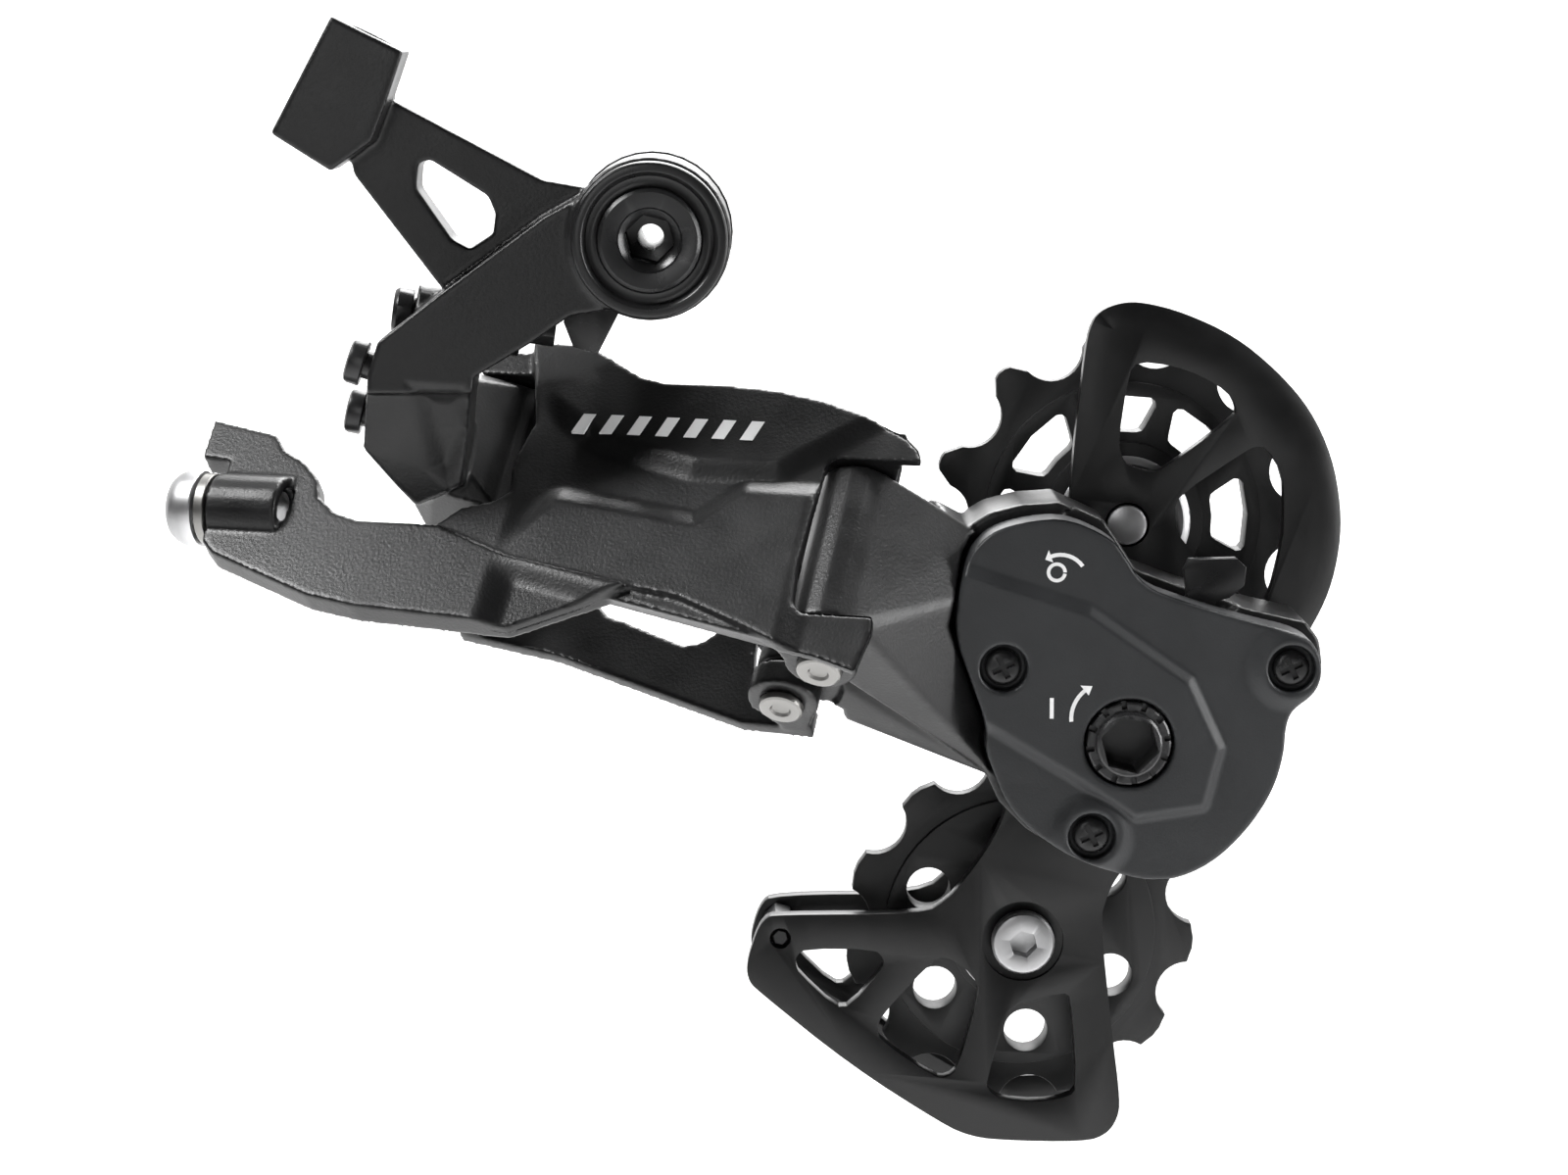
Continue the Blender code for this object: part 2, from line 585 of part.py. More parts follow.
def anchor_bolt():
    """Domed bolt that clamps the cable, with a hex socket."""
    along = -LINK_ALONG
    base = pins(ARM_END, *ANCHOR)
    profile = (
        (0, -8.0), (2.5, -8.0), (2.5, 1.8), (4.5, 1.8), (4.5, 3.4), (4.0, 4.8), (3.0, 5.5),
        (2.2, 5.7), (0, 5.7),
    )
    bolt = turned("anchor_bolt", profile, base, along, 24)
    cut(bolt, hexagon("anchor_hex", 4.0, base + along * 3.4, along, 4.0))
    return finish(bolt, "silver_alloy")


# ---------------------------------------------------------------- p knuckle


def cavity(name, low, high):
    """The room inside the housing and its cover, left solid round the three cover screws."""
    room = extruded(name, scaled(COVER_OUTLINE, COVER_CENTRE, 0.84), low, high)
    for number, place in enumerate(COVER_SCREWS):
        cut(room, y_rod(f"{name}_boss_{number}", place, 3.2, low - 2, high + 2, 14))
    return room


def p_knuckle():
    """Knuckle at the far end of the links: it houses the clutch and carries the cage."""
    outline = scaled(COVER_OUTLINE, COVER_CENTRE, 1.05)
    body = extruded("p_knuckle", outline, HOUSING_FRONT, HOUSING_BACK, world, parts)
    low, high = EARS_OUTER_P[1] + 0.4, EARS_OUTER_P[2] - 0.4
    inner_low, inner_high = EARS_INNER_P[1] + 0.4, EARS_INNER_P[2] - 0.4
    barrel = [
        pins(s, t, h) for h in (low, high) for s, t in circle(OUTER_P, 4.6, 16)
    ]
    lug = [
        pins(s, t, h) for h in (inner_low, inner_high) for s, t in circle(INNER_P, 3.9, 12)
    ]
    side = [
        Vector((x, y, z))
        for y in (HOUSING_FRONT, HOUSING_BACK)
        for x, z in ((37.5, -34.0), (34.4, -44.0), (36.8, -53.0), (40.0, -63.0), (43.0, -40.0))
    ]
    join(body, hull("p_arm", barrel + side), hull("p_lug", lug + side))
    for number, (start, end) in enumerate(((-30.0, low), (high, 45.0))):
        cut(body, pin_rod(f"outer_ear_room_{number}", OUTER_P, 9.9, start, end, 28))
    for number, (start, end) in enumerate(((-30.0, inner_low), (inner_high, 45.0))):
        cut(body, pin_rod(f"inner_ear_room_{number}", INNER_P, EAR_RADIUS + 2.3, start, end, 20))
    seat = scaled(COVER_OUTLINE, COVER_CENTRE, 1.02)
    cut(body, extruded("cover_seat", seat, -40.0, HOUSING_FRONT))
    beside = ((20.0, -12.0), (41.0, -12.0), (41.0, 30.0), (20.0, 30.0))
    cut(body, extruded("inner_link_room", beside, INNER_OFFSET[1] + 4.7, 30.0, wall))
    s, t = INNER_P
    pocket = circle(INNER_P, 5.6, 11, -70, 110) + [(s - 18.0, t + 9.0), (s - 14.0, t - 7.4)]
    cut(body, extruded("spring_pocket", pocket, 2.4, 12.4, pins))
    cut(body, pin_rod("bore_outer_p", OUTER_P, PIN_RADIUS + GAP, -20, 45, 16))
    cut(body, pin_rod("bore_inner_p", INNER_P, PIN_RADIUS + GAP, -20, 45, 16))
    cut(body, cavity("housing_cavity", HOUSING_FRONT - 4.0, HOUSING_FLOOR))
    cut(body, y_rod("axle_bore", CAGE_AXIS, AXLE_RADIUS + GAP, -8.0, 3.0, 24))
    for number, place in enumerate(COVER_SCREWS):
        cut(body, y_rod(f"cover_screw_bore_{number}", place, 1.8, -16.0, -6.0, 12))
    sweep = [(CAGE_AXIS[0], CAGE_AXIS[1] + 6)] + circle(CAGE_AXIS, 27.0, 9, 44, 106)
    cut(body, extruded("lever_slot", sweep, HOUSING_FRONT - 3.0, LEVER[1] + 0.4))
    return finish(body, "black_paint")


def clutch_cover():
    """Shell over the clutch, held on by three screws."""
    cover = extruded("clutch_cover", COVER_OUTLINE, COVER_FRONT, COVER_BACK, world, parts)
    cut(cover, cavity("cover_cavity", COVER_FRONT + COVER_WALL, COVER_BACK + 2.0))
    cut(cover, y_rod("spindle_bore", CAGE_AXIS, 5.2, -24.0, -14.0, 24))
    for number, place in enumerate(COVER_SCREWS):
        cut(cover, y_rod(f"cover_head_{number}", place, 2.75, -24.0, -18.2, 18))
        cut(cover, y_rod(f"cover_hole_{number}", place, 1.8, -22.0, -10.0, 12))
    return finish(cover, "grey_paint")


def cover_screw(number, place):
    """Countersunk screw with a cross recess."""
    x, z = place
    profile = ((0, -19.4), (1.8, -19.4), (2.1, -19.0), (2.1, -18.5), (1.5, -17.9), (1.5, -7.0), (0, -7.0))
    screw = turned(f"cover_screw_{number}", profile, (x, 0, z), (0, 1, 0), 12)
    for index, (wide, tall) in enumerate(((1.3, 0.3), (0.3, 1.3))):
        outline = ((x - wide, z - tall), (x + wide, z - tall), (x + wide, z + tall), (x - wide, z + tall))
        cut(screw, extruded(f"cover_cross_{number}_{index}", outline, -21.0, -18.8))
    return finish(screw, "black_steel")


def coil(name, base, axis, radius, wire, height, turns, slot, per_turn=12):
    """A coil spring as one tube, closed at both ends."""
    axis = Vector(axis).normalized()
    side = axis.orthogonal().normalized()
    other = axis.cross(side)
    curve = bpy.data.curves.new(name, "CURVE")
    curve.dimensions = "3D"
    curve.bevel_depth = wire / 2.0
    curve.bevel_resolution = 1
    curve.use_fill_caps = True
    count = int(turns * per_turn) + 1
    line = curve.splines.new("POLY")
    line.points.add(count - 1)
    for i in range(count):
        angle = 2.0 * math.pi * i / per_turn
        lift = height * i / (count - 1)
        point = Vector(base) + axis * lift
        point += radius * (math.cos(angle) * side + math.sin(angle) * other)
        line.points[i].co = (*point, 1.0)
    curve.materials.append(material(slot))
    return linked(name, curve, parts)


def clutch_spindle():
    """Spindle of the clutch switch, with a serrated flange and a hex socket."""
    profile = (
        (0, -20.8), (3.5, -20.8), (3.8, -20.5), (3.8, -20.0), (4.6, -20.0), (4.9, -19.7),
        (4.9, -18.6), (4.6, -18.4), (4.6, -13.3), (3.6, -13.3), (3.6, -10.8), (0, -10.8),
    )
    spindle = turned("clutch_spindle", profile, (CAGE_AXIS[0], 0, CAGE_AXIS[1]), (0, 1, 0), 18)
    cut(spindle, hexagon("spindle_hex", 6.0, (CAGE_AXIS[0], -22.0, CAGE_AXIS[1]), (0, 1, 0), 6.0))
    return finish(spindle, "black_steel")


def clutch_lever():
    """Flat lever on the spindle. Its tip comes out of the top of the housing."""
    x, z = CAGE_AXIS
    tip = (
        (56.2, -53.4), (62.0, -41.6), (61.6, -38.6), (62.2, -37.3), (67.7, -37.2), (68.8, -38.2),
        (68.6, -40.4), (66.9, -41.8), (65.4, -42.2), (60.2, -54.6),
    )
    lever = y_rod("clutch_lever", CAGE_AXIS, 6.6, LEVER[0] - 0.1, LEVER[1] + 0.1, 24, parts)
    join(lever, extruded("lever_arm", tip, *LEVER))
    cut(lever, y_rod("lever_bore", (x, z), 3.9, -20.0, -5.0, 20))
    return finish(lever, "black_steel")


def clutch_drum():
    """Drum on the cage's axle that the friction band grips."""
    profile = ((AXLE_RADIUS + GAP, -10.4), (6.8, -10.4), (6.8, -7.6), (AXLE_RADIUS + GAP, -7.6))
    drum = turned("clutch_drum", profile, (CAGE_AXIS[0], 0, CAGE_AXIS[1]), (0, 1, 0), 18, closed=True)
    return finish(drum, "bright_steel")


def clutch_band():
    """Split band round the drum, tightened by the switch."""
    outline = circle(CAGE_AXIS, 8.3, 19, 70, 400) + circle(CAGE_AXIS, 7.1, 19, 70, 400)[::-1]
    return finish(extruded("clutch_band", outline, -10.4, -7.6, world, parts), "spring_steel")


# ---------------------------------------------------------------- cage


def plate(name, outline, span, windows):
    body = extruded(name, outline, *span, world, parts)
    for number, window in enumerate(windows):
        cut(body, extruded(f"{name}_window_{number}", window, span[0] - 3, span[1] + 3))
    for label, centre in (("guide", GUIDE_CENTRE), ("tension", TENSION_CENTRE)):
        radius = PULLEY_BOLT_RADIUS + GAP
        cut(body, y_rod(f"{name}_{label}", centre, radius, span[0] - 3, span[1] + 3, 16))
    return body


def cage_outer_plate():
    """Outer plate, with the chain guard and the pivot's hole."""
    body = plate("cage_outer_plate", OUTER_PLATE_OUTLINE, OUTER_PLATE, GUARD_WINDOWS + TAIL_WINDOWS)
    cut(body, y_rod("plate_axle", CAGE_AXIS, AXLE_RADIUS + GAP, 0, 7, 24))
    cut(body, y_rod("bolt_dimple", TENSION_CENTRE, 5.0, 0.0, OUTER_PLATE[0] + 0.8, 24))
    cut(body, y_rod("spacer_hole_outer", SPACER, 1.3, 0, 7, 12))
    return finish(body, "black_plate")


def cage_inner_plate():
    """Inner plate, on the wheel's side of the pulleys."""
    body = plate("cage_inner_plate", INNER_PLATE_OUTLINE, INNER_PLATE, TAIL_WINDOWS)
    cut(body, y_rod("spacer_hole_inner", SPACER, 1.3, 12, 18, 12))
    return finish(body, "black_plate")


SPACER = (15.0, -86.4)


def cage_spacer():
    """Hexagonal post that holds the tails of the plates apart."""
    profile = (
        (0, 2.9), (1.0, 2.9), (1.0, 4.8), (1.9, 4.8), (1.9, 13.2), (1.0, 13.2), (1.0, 15.2),
        (0, 15.2),
    )
    return finish(turned("cage_spacer", profile, (SPACER[0], 0, SPACER[1]), (0, 1, 0), 6), "black_steel")


def cage_axle():
    """Axle of the cage, fixed in the outer plate and turning in the knuckle."""
    x, z = CAGE_AXIS
    profile = (
        (0, -10.6), (AXLE_RADIUS, -10.6), (AXLE_RADIUS, 4.8), (6.6, 4.8), (6.6, 5.3), (6.2, 5.6),
        (0, 5.6),
    )
    axle = turned("cage_axle", profile, (x, 0, z), (0, 1, 0), 20)
    cut(axle, hexagon("axle_hex", 5.0, (x, 3.0, z), (0, 1, 0), 5.0))
    return finish(axle, "bright_steel")


def guide_bolt():
    x, z = GUIDE_CENTRE
    profile = (
        (0, 2.2), (2.1, 2.2), (PULLEY_BOLT_RADIUS, 2.5), (PULLEY_BOLT_RADIUS, 15.8),
        (4.2, 15.8), (4.2, 17.6), (3.8, 18.0), (0, 18.0),
    )
    bolt = turned("guide_bolt", profile, (x, 0, z), (0, 1, 0), 14)
    cut(bolt, hexagon("guide_bolt_hex", 3.0, (x, 16.0, z), (0, 1, 0), 4.0))
    return finish(bolt, "silver_alloy")


def tension_bolt():
    x, z = TENSION_CENTRE
    profile = (
        (0, 1.2), (3.3, 1.2), (3.85, 1.7), (3.85, 3.0), (PULLEY_BOLT_RADIUS, 3.0),
        (PULLEY_BOLT_RADIUS, 16.2), (2.1, 16.5), (0, 16.5),
    )
    bolt = turned("tension_bolt", profile, (x, 0, z), (0, 1, 0), 16)
    cut(bolt, hexagon("tension_bolt_hex", 3.0, (x, 0.0, z), (0, 1, 0), 3.2))
    return finish(bolt, "silver_alloy")


def pulley_bush(name, centre):
    """Steel sleeve that the pulley turns on, clamped between the plates by the bolt."""
    inside = PULLEY_BOLT_RADIUS + GAP
    profile = ((inside, 4.8), (BUSH_RADIUS, 4.8), (BUSH_RADIUS, 13.2), (inside, 13.2))
    return finish(turned(name, profile, (centre[0], 0, centre[1]), (0, 1, 0), 14, closed=True), "bright_steel")


def dust_cap(name, centre, near, far):
    """Dished cap that keeps dirt out of the pulley's bearing."""
    inside = BUSH_RADIUS + GAP
    middle = (near + far) / 2.0
    profile = ((inside, near), (7.0, near), (8.0, middle), (8.0, far), (inside, far))
    return finish(turned(name, profile, (centre[0], 0, centre[1]), (0, 1, 0), 20, closed=True), "silver_alloy")


def pulley_outline(centre, first_tooth, tip_radius, tip_half):
    """Seats for the chain's rollers, with a narrow flat tip between each two."""
    outline = []
    pitch = 360.0 / TEETH
    for i in range(TEETH):
        seat = first_tooth + pitch * (i + 0.5)
        a = math.radians(seat)
        middle = (centre[0] + PITCH_RADIUS * math.cos(a), centre[1] + PITCH_RADIUS * math.sin(a))
        outline += circle(middle, ROLLER_RADIUS, 5, seat + 180 + 68, seat + 180 - 68)
        tip = math.radians(seat + pitch / 2.0)
        for spread in (-1, 1):
            turn = tip + spread * tip_half / tip_radius
            outline.append(
                (centre[0] + tip_radius * math.cos(turn), centre[1] + tip_radius * math.sin(turn))
            )
    return outline


def toothed_disc(name, centre, first_tooth, tip_radius, tip_half):
    """The pulley's toothed disc, with a thicker ring inside its teeth."""
    y = PULLEY_Y
    outline = pulley_outline(centre, first_tooth, tip_radius, tip_half)
    disc = extruded(name, outline, y - TOOTH_THICK / 2, y + TOOTH_THICK / 2, world, parts)
    join(disc, y_rod(f"{name}_ring", centre, 16.8, y - 2.0, y + 2.0, 28))
    return disc


def guide_pulley():
    """Upper pulley: eight windows between its hub and its rim."""
    centre = GUIDE_CENTRE
    pulley = toothed_disc("guide_pulley", centre, 129.5, 23.3, 1.1)
    join(pulley, y_rod("guide_hub", centre, 9.6, 6.0, 12.0, 22))
    for i in range(8):
        middle = 2.5 + 45.0 * i
        window = circle(centre, 15.2, 3, middle - 18, middle + 18)
        window += circle(centre, 10.8, 2, middle - 15, middle + 15)[::-1]
        cut(pulley, extruded(f"guide_window_{i}", window, 0, 18))
    cut(pulley, y_rod("guide_bore", centre, BUSH_RADIUS + GAP, 0, 18, 20))
    return finish(pulley, "black_plastic")


def tension_pulley():
    """Lower pulley: six leaf-shaped holes."""
    centre = TENSION_CENTRE
    pulley = toothed_disc("tension_pulley", centre, -4.6, 21.7, 1.7)
    join(pulley, y_rod("tension_hub", centre, 8.8, 6.0, 12.0, 20))
    for i in range(6):
        angle = math.radians(-26.0 + 60.0 * i)
        middle = (centre[0] + 12.6 * math.cos(angle), centre[1] + 12.6 * math.sin(angle))
        cut(pulley, extruded(f"tension_window_{i}", circle(middle, 2.7, 8), 0, 18))
    cut(pulley, y_rod("tension_bore", centre, BUSH_RADIUS + GAP, 0, 18, 20))
    return finish(pulley, "black_plastic")


# ---------------------------------------------------------------- assembly


def clear_scene():
    for old in list(bpy.data.objects):
        bpy.data.objects.remove(old, do_unlink=True)


def place_origin(body, point):
    """Moves an object's origin without moving its shape."""
    point = Vector(point)
    body.data.transform(Matrix.Translation(-point))
    body.location = point * MM


def build():
    clear_scene()
    bpy.context.scene.collection.children.link(parts)
    bpy.context.scene.collection.children.link(cutters)
    cutters.hide_render = True
    cage_point = (CAGE_AXIS[0], 0, CAGE_AXIS[1])
    bodies = {
        (0.0, 0.0, 0.0): [mounting_bolt(), stop_plate(), b_knuckle(), b_screw(), knuckle_bush()],
        tuple(pins(*OUTER_B, 0)): [
            outer_link(),
            link_pin("outer_pin_b", OUTER_B, EARS_OUTER_B),
            link_pin("outer_pin_p", OUTER_P, EARS_OUTER_P),
            anchor_washer(),
            anchor_bolt(),
        ],
        tuple(pins(*INNER_B, 0)): [
            inner_link(),
            link_pin("inner_pin_b", INNER_B, EARS_INNER_B),
        ],
        tuple(pins(*OUTER_P, 0)): [
            p_knuckle(),
            clutch_cover(),
            clutch_band(),
            link_pin("inner_pin_p", INNER_P, EARS_INNER_P),
            coil("return_spring", pins(*INNER_P, 3.6), LINK_UP, 3.9, 1.6, 7.6, 4.2, "spring_steel", 10),
        ]
        + [cover_screw(number, place) for number, place in enumerate(COVER_SCREWS, 1)],
        cage_point: [
            clutch_spindle(),
            clutch_lever(),
            clutch_drum(),
            cage_outer_plate(),
            cage_inner_plate(),
            cage_spacer(),
            cage_axle(),
            guide_bolt(),
            tension_bolt(),
            pulley_bush("guide_bush", GUIDE_CENTRE),
            pulley_bush("tension_bush", TENSION_CENTRE),
            dust_cap("guide_cap_outer", GUIDE_CENTRE, 4.9, 5.7),
            dust_cap("guide_cap_inner", GUIDE_CENTRE, 13.1, 12.3),
            dust_cap("tension_cap_outer", TENSION_CENTRE, 4.9, 5.7),
            dust_cap("tension_cap_inner", TENSION_CENTRE, 13.1, 12.3),
            coil(
                "cage_spring", (CAGE_AXIS[0], -6.6, CAGE_AXIS[1]), (0, 1, 0), 6.6, 1.3, 2.2, 1.4,
                "spring_steel", 14,
            ),
        ],
        (GUIDE_CENTRE[0], PULLEY_Y, GUIDE_CENTRE[1]): [guide_pulley()],
        (TENSION_CENTRE[0], PULLEY_Y, TENSION_CENTRE[1]): [tension_pulley()],
    }
    for number, (place, axis) in enumerate(LIMIT_SCREWS, 1):
        bodies[(0.0, 0.0, 0.0)].append(limit_screw(f"limit_screw_{number}", place, axis))
    for point, members in bodies.items():
        for member in members:
            place_origin(member, point)


build()
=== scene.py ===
"""Looks of the rear derailleur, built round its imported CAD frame."""

import json
import math

import bmesh
import bpy
from mathutils import Matrix, Vector

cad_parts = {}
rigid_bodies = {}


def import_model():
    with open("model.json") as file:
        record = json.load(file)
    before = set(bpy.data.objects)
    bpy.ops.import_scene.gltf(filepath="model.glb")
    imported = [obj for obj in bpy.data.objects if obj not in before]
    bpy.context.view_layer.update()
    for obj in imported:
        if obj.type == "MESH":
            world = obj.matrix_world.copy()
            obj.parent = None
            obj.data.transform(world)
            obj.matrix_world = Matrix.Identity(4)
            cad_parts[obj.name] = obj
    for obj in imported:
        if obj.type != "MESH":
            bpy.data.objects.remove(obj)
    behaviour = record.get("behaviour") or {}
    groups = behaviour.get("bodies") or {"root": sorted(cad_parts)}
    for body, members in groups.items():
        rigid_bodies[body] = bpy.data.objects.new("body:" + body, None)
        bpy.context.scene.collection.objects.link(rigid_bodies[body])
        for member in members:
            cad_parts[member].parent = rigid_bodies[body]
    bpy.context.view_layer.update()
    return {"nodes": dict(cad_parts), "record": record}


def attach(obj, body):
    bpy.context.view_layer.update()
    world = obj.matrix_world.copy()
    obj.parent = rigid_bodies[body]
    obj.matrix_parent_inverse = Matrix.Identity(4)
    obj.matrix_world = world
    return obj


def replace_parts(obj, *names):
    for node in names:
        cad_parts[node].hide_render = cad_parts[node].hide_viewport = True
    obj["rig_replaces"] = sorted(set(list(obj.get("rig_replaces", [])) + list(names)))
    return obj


MM = 0.001

# Axes of the cage and its pulleys, as (x, z), and the frame of the parallelogram, in mm.
CAGE_AXIS = (54.7, -57.6)
GUIDE_CENTRE = (56.7, -35.4)
TENSION_CENTRE = (44.7, -86.9)
PULLEY_Y = 9.0
LINK_ORIGIN = Vector((-20.4, -14.0, -41.0))
LINK_ALONG = Vector((0.96252, -0.27077, -0.01575)).normalized()
LINK_UP = Vector((0.20445, 0.68616, 0.69813)).normalized()
LINK_IN = LINK_UP.cross(LINK_ALONG).normalized()
COVER_SCREWS = ((40.2, -48.8), (73.3, -49.0), (50.6, -68.6))
COVER_FRONT = -20.0
COVER_BACK = -13.6
COVER_CENTRE = (55.0, -54.0)
SPACER = (15.0, -86.4)
TEETH = 11
PITCH_RADIUS = 12.7 / (2.0 * math.sin(math.pi / TEETH))


COVER_OUTLINE = (
    (43.2, -31.9), (47.4, -31.6), (52.6, -34.0), (53.9, -35.9), (56.2, -39.5), (60.7, -41.2),
    (68.1, -43.5), (74.9, -45.1), (76.4, -47.1), (76.8, -49.7), (76.0, -52.0), (73.5, -53.9),
    (72.8, -55.9), (72.7, -59.2), (71.5, -63.5), (68.6, -68.1), (64.5, -72.1), (59.7, -74.1),
    (54.8, -73.6), (48.2, -71.0), (44.0, -68.4), (41.0, -65.3), (39.4, -61.7), (38.3, -58.4),
    (38.5, -55.8), (36.7, -50.9), (34.2, -44.0), (35.9, -36.5), (37.8, -34.0), (39.7, -32.8),
)

OUTER_PLATE_OUTLINE = (
    (49.7, -34.7), (50.0, -27.9), (51.2, -16.1), (51.8, -11.7), (53.1, -9.7), (55.7, -8.7),
    (58.4, -8.7), (63.1, -9.9), (69.3, -12.7), (74.4, -16.8), (78.6, -21.5), (81.4, -27.3),
    (82.6, -33.4), (82.6, -38.2), (81.5, -43.7), (79.2, -48.5), (73.5, -58.0), (66.0, -69.0),
    (58.0, -76.5), (55.9, -79.1), (54.8, -81.7), (54.2, -84.4), (55.8, -98.3), (57.0, -107.1),
    (56.7, -109.5), (55.4, -111.5), (52.7, -112.5), (41.8, -112.2), (38.3, -111.6),
    (35.2, -110.2), (23.6, -102.5), (12.1, -92.9), (11.1, -91.7), (10.8, -89.8), (12.1, -85.4),
    (13.2, -83.8), (14.4, -83.4), (32.7, -83.4), (35.0, -81.9), (36.6, -80.4), (41.1, -74.2),
    (43.0, -69.0), (43.0, -60.0), (44.5, -50.0), (47.5, -42.0),
)

GUARD_WINDOWS = (
    ((57.7, -15.7), (61.9, -16.2), (65.3, -17.4), (68.7, -19.5), (69.6, -21.2), (69.5, -22.3),
     (61.1, -28.6), (59.5, -29.1), (56.7, -28.2), (55.9, -27.1), (55.5, -25.2), (56.6, -17.1)),
    ((70.6, -26.6), (71.9, -25.9), (73.4, -26.1), (75.4, -29.3), (75.6, -33.4), (75.6, -37.2),
     (74.0, -44.4), (72.9, -45.4), (71.6, -44.9), (63.0, -37.5), (62.4, -33.7), (62.9, -31.8)),
)

TAIL_WINDOWS = (
    ((16.9, -89.8), (16.9, -88.6), (18.2, -87.7), (26.6, -87.8), (27.7, -89.0), (27.6, -90.2),
     (23.6, -95.0), (21.7, -95.1), (17.3, -90.8)),
    ((33.4, -89.5), (35.1, -88.7), (37.4, -89.9), (39.3, -92.2), (39.3, -93.9), (36.9, -103.0),
     (35.6, -104.2), (34.0, -104.1), (27.3, -99.4), (26.9, -97.8), (27.4, -96.2)),
    ((44.4, -94.7), (49.7, -93.3), (50.8, -94.1), (51.6, -105.5), (50.7, -106.7), (46.8, -107.4),
     (42.2, -107.0), (40.6, -105.8), (40.4, -104.6), (42.5, -97.0), (43.6, -95.2)),
)

INNER_PLATE_OUTLINE = (
    (47.0, -45.0), (47.2, -35.0), (48.6, -29.6), (52.0, -26.3), (56.7, -25.2), (61.4, -26.3),
    (65.0, -29.8), (66.4, -35.4), (65.6, -44.0), (66.6, -56.0), (64.5, -66.0), (57.5, -76.5),
    (54.8, -81.7), (54.4, -86.0), (55.8, -98.3), (56.6, -107.1), (56.0, -109.5), (54.6, -111.2),
    (52.0, -112.0), (41.8, -111.7), (35.4, -109.7), (23.6, -102.0), (12.4, -92.6), (11.2, -89.8),
    (12.5, -85.0), (14.4, -83.6), (32.9, -83.6), (36.8, -80.2), (41.1, -74.2), (43.0, -69.0),
    (43.0, -60.0), (45.0, -50.0),
)


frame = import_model()
nodes = frame["nodes"]
slots = {row["node"]: row["material_slot"] for row in frame["record"]["subparts"]}
body_of = {
    node: body
    for body, members in frame["record"]["behaviour"]["bodies"].items()
    for node in members
}

# ---------------------------------------------------------------- materials

# Colour, metallic, roughness, grain size, grain depth, roughness spread, specular level.
FINISHES = {
    "black_paint": ((0.0042, 0.0042, 0.0045), 0.0, 0.37, 2700.0, 0.55, 0.10, 0.42),
    "grey_paint": ((0.021, 0.022, 0.0235), 0.2, 0.46, 3600.0, 0.35, 0.08, 0.45),
    "black_plate": ((0.0032, 0.0032, 0.0034), 0.0, 0.34, 3800.0, 0.10, 0.10, 0.38),
    "black_plastic": ((0.0065, 0.0065, 0.0068), 0.0, 0.46, 3000.0, 0.15, 0.12, 0.40),
    "bright_steel": ((0.20, 0.197, 0.19), 1.0, 0.36, 2500.0, 0.10, 0.14, 0.5),
    "silver_alloy": ((0.36, 0.36, 0.365), 1.0, 0.38, 3600.0, 0.12, 0.14, 0.5),
    "black_steel": ((0.012, 0.012, 0.0125), 0.25, 0.30, 3000.0, 0.10, 0.12, 0.5),
    "spring_steel": ((0.14, 0.14, 0.145), 1.0, 0.36, 2600.0, 0.12, 0.12, 0.5),
    "white_mark": ((0.70, 0.70, 0.70), 0.0, 0.50, 5000.0, 0.15, 0.10, 0.4),
}


GRAIN_DETAIL = 3.0
GRAIN_HEIGHT = 0.00006
PATCH_SIZE = 160.0
PATCH_DETAIL = 6.0
# Sharp edges are mixed towards a paler colour: a painted edge highlight.
EDGE_STARTS = 0.53
EDGE_FULL = 0.66
EDGE_HIGHLIGHT = 0.5


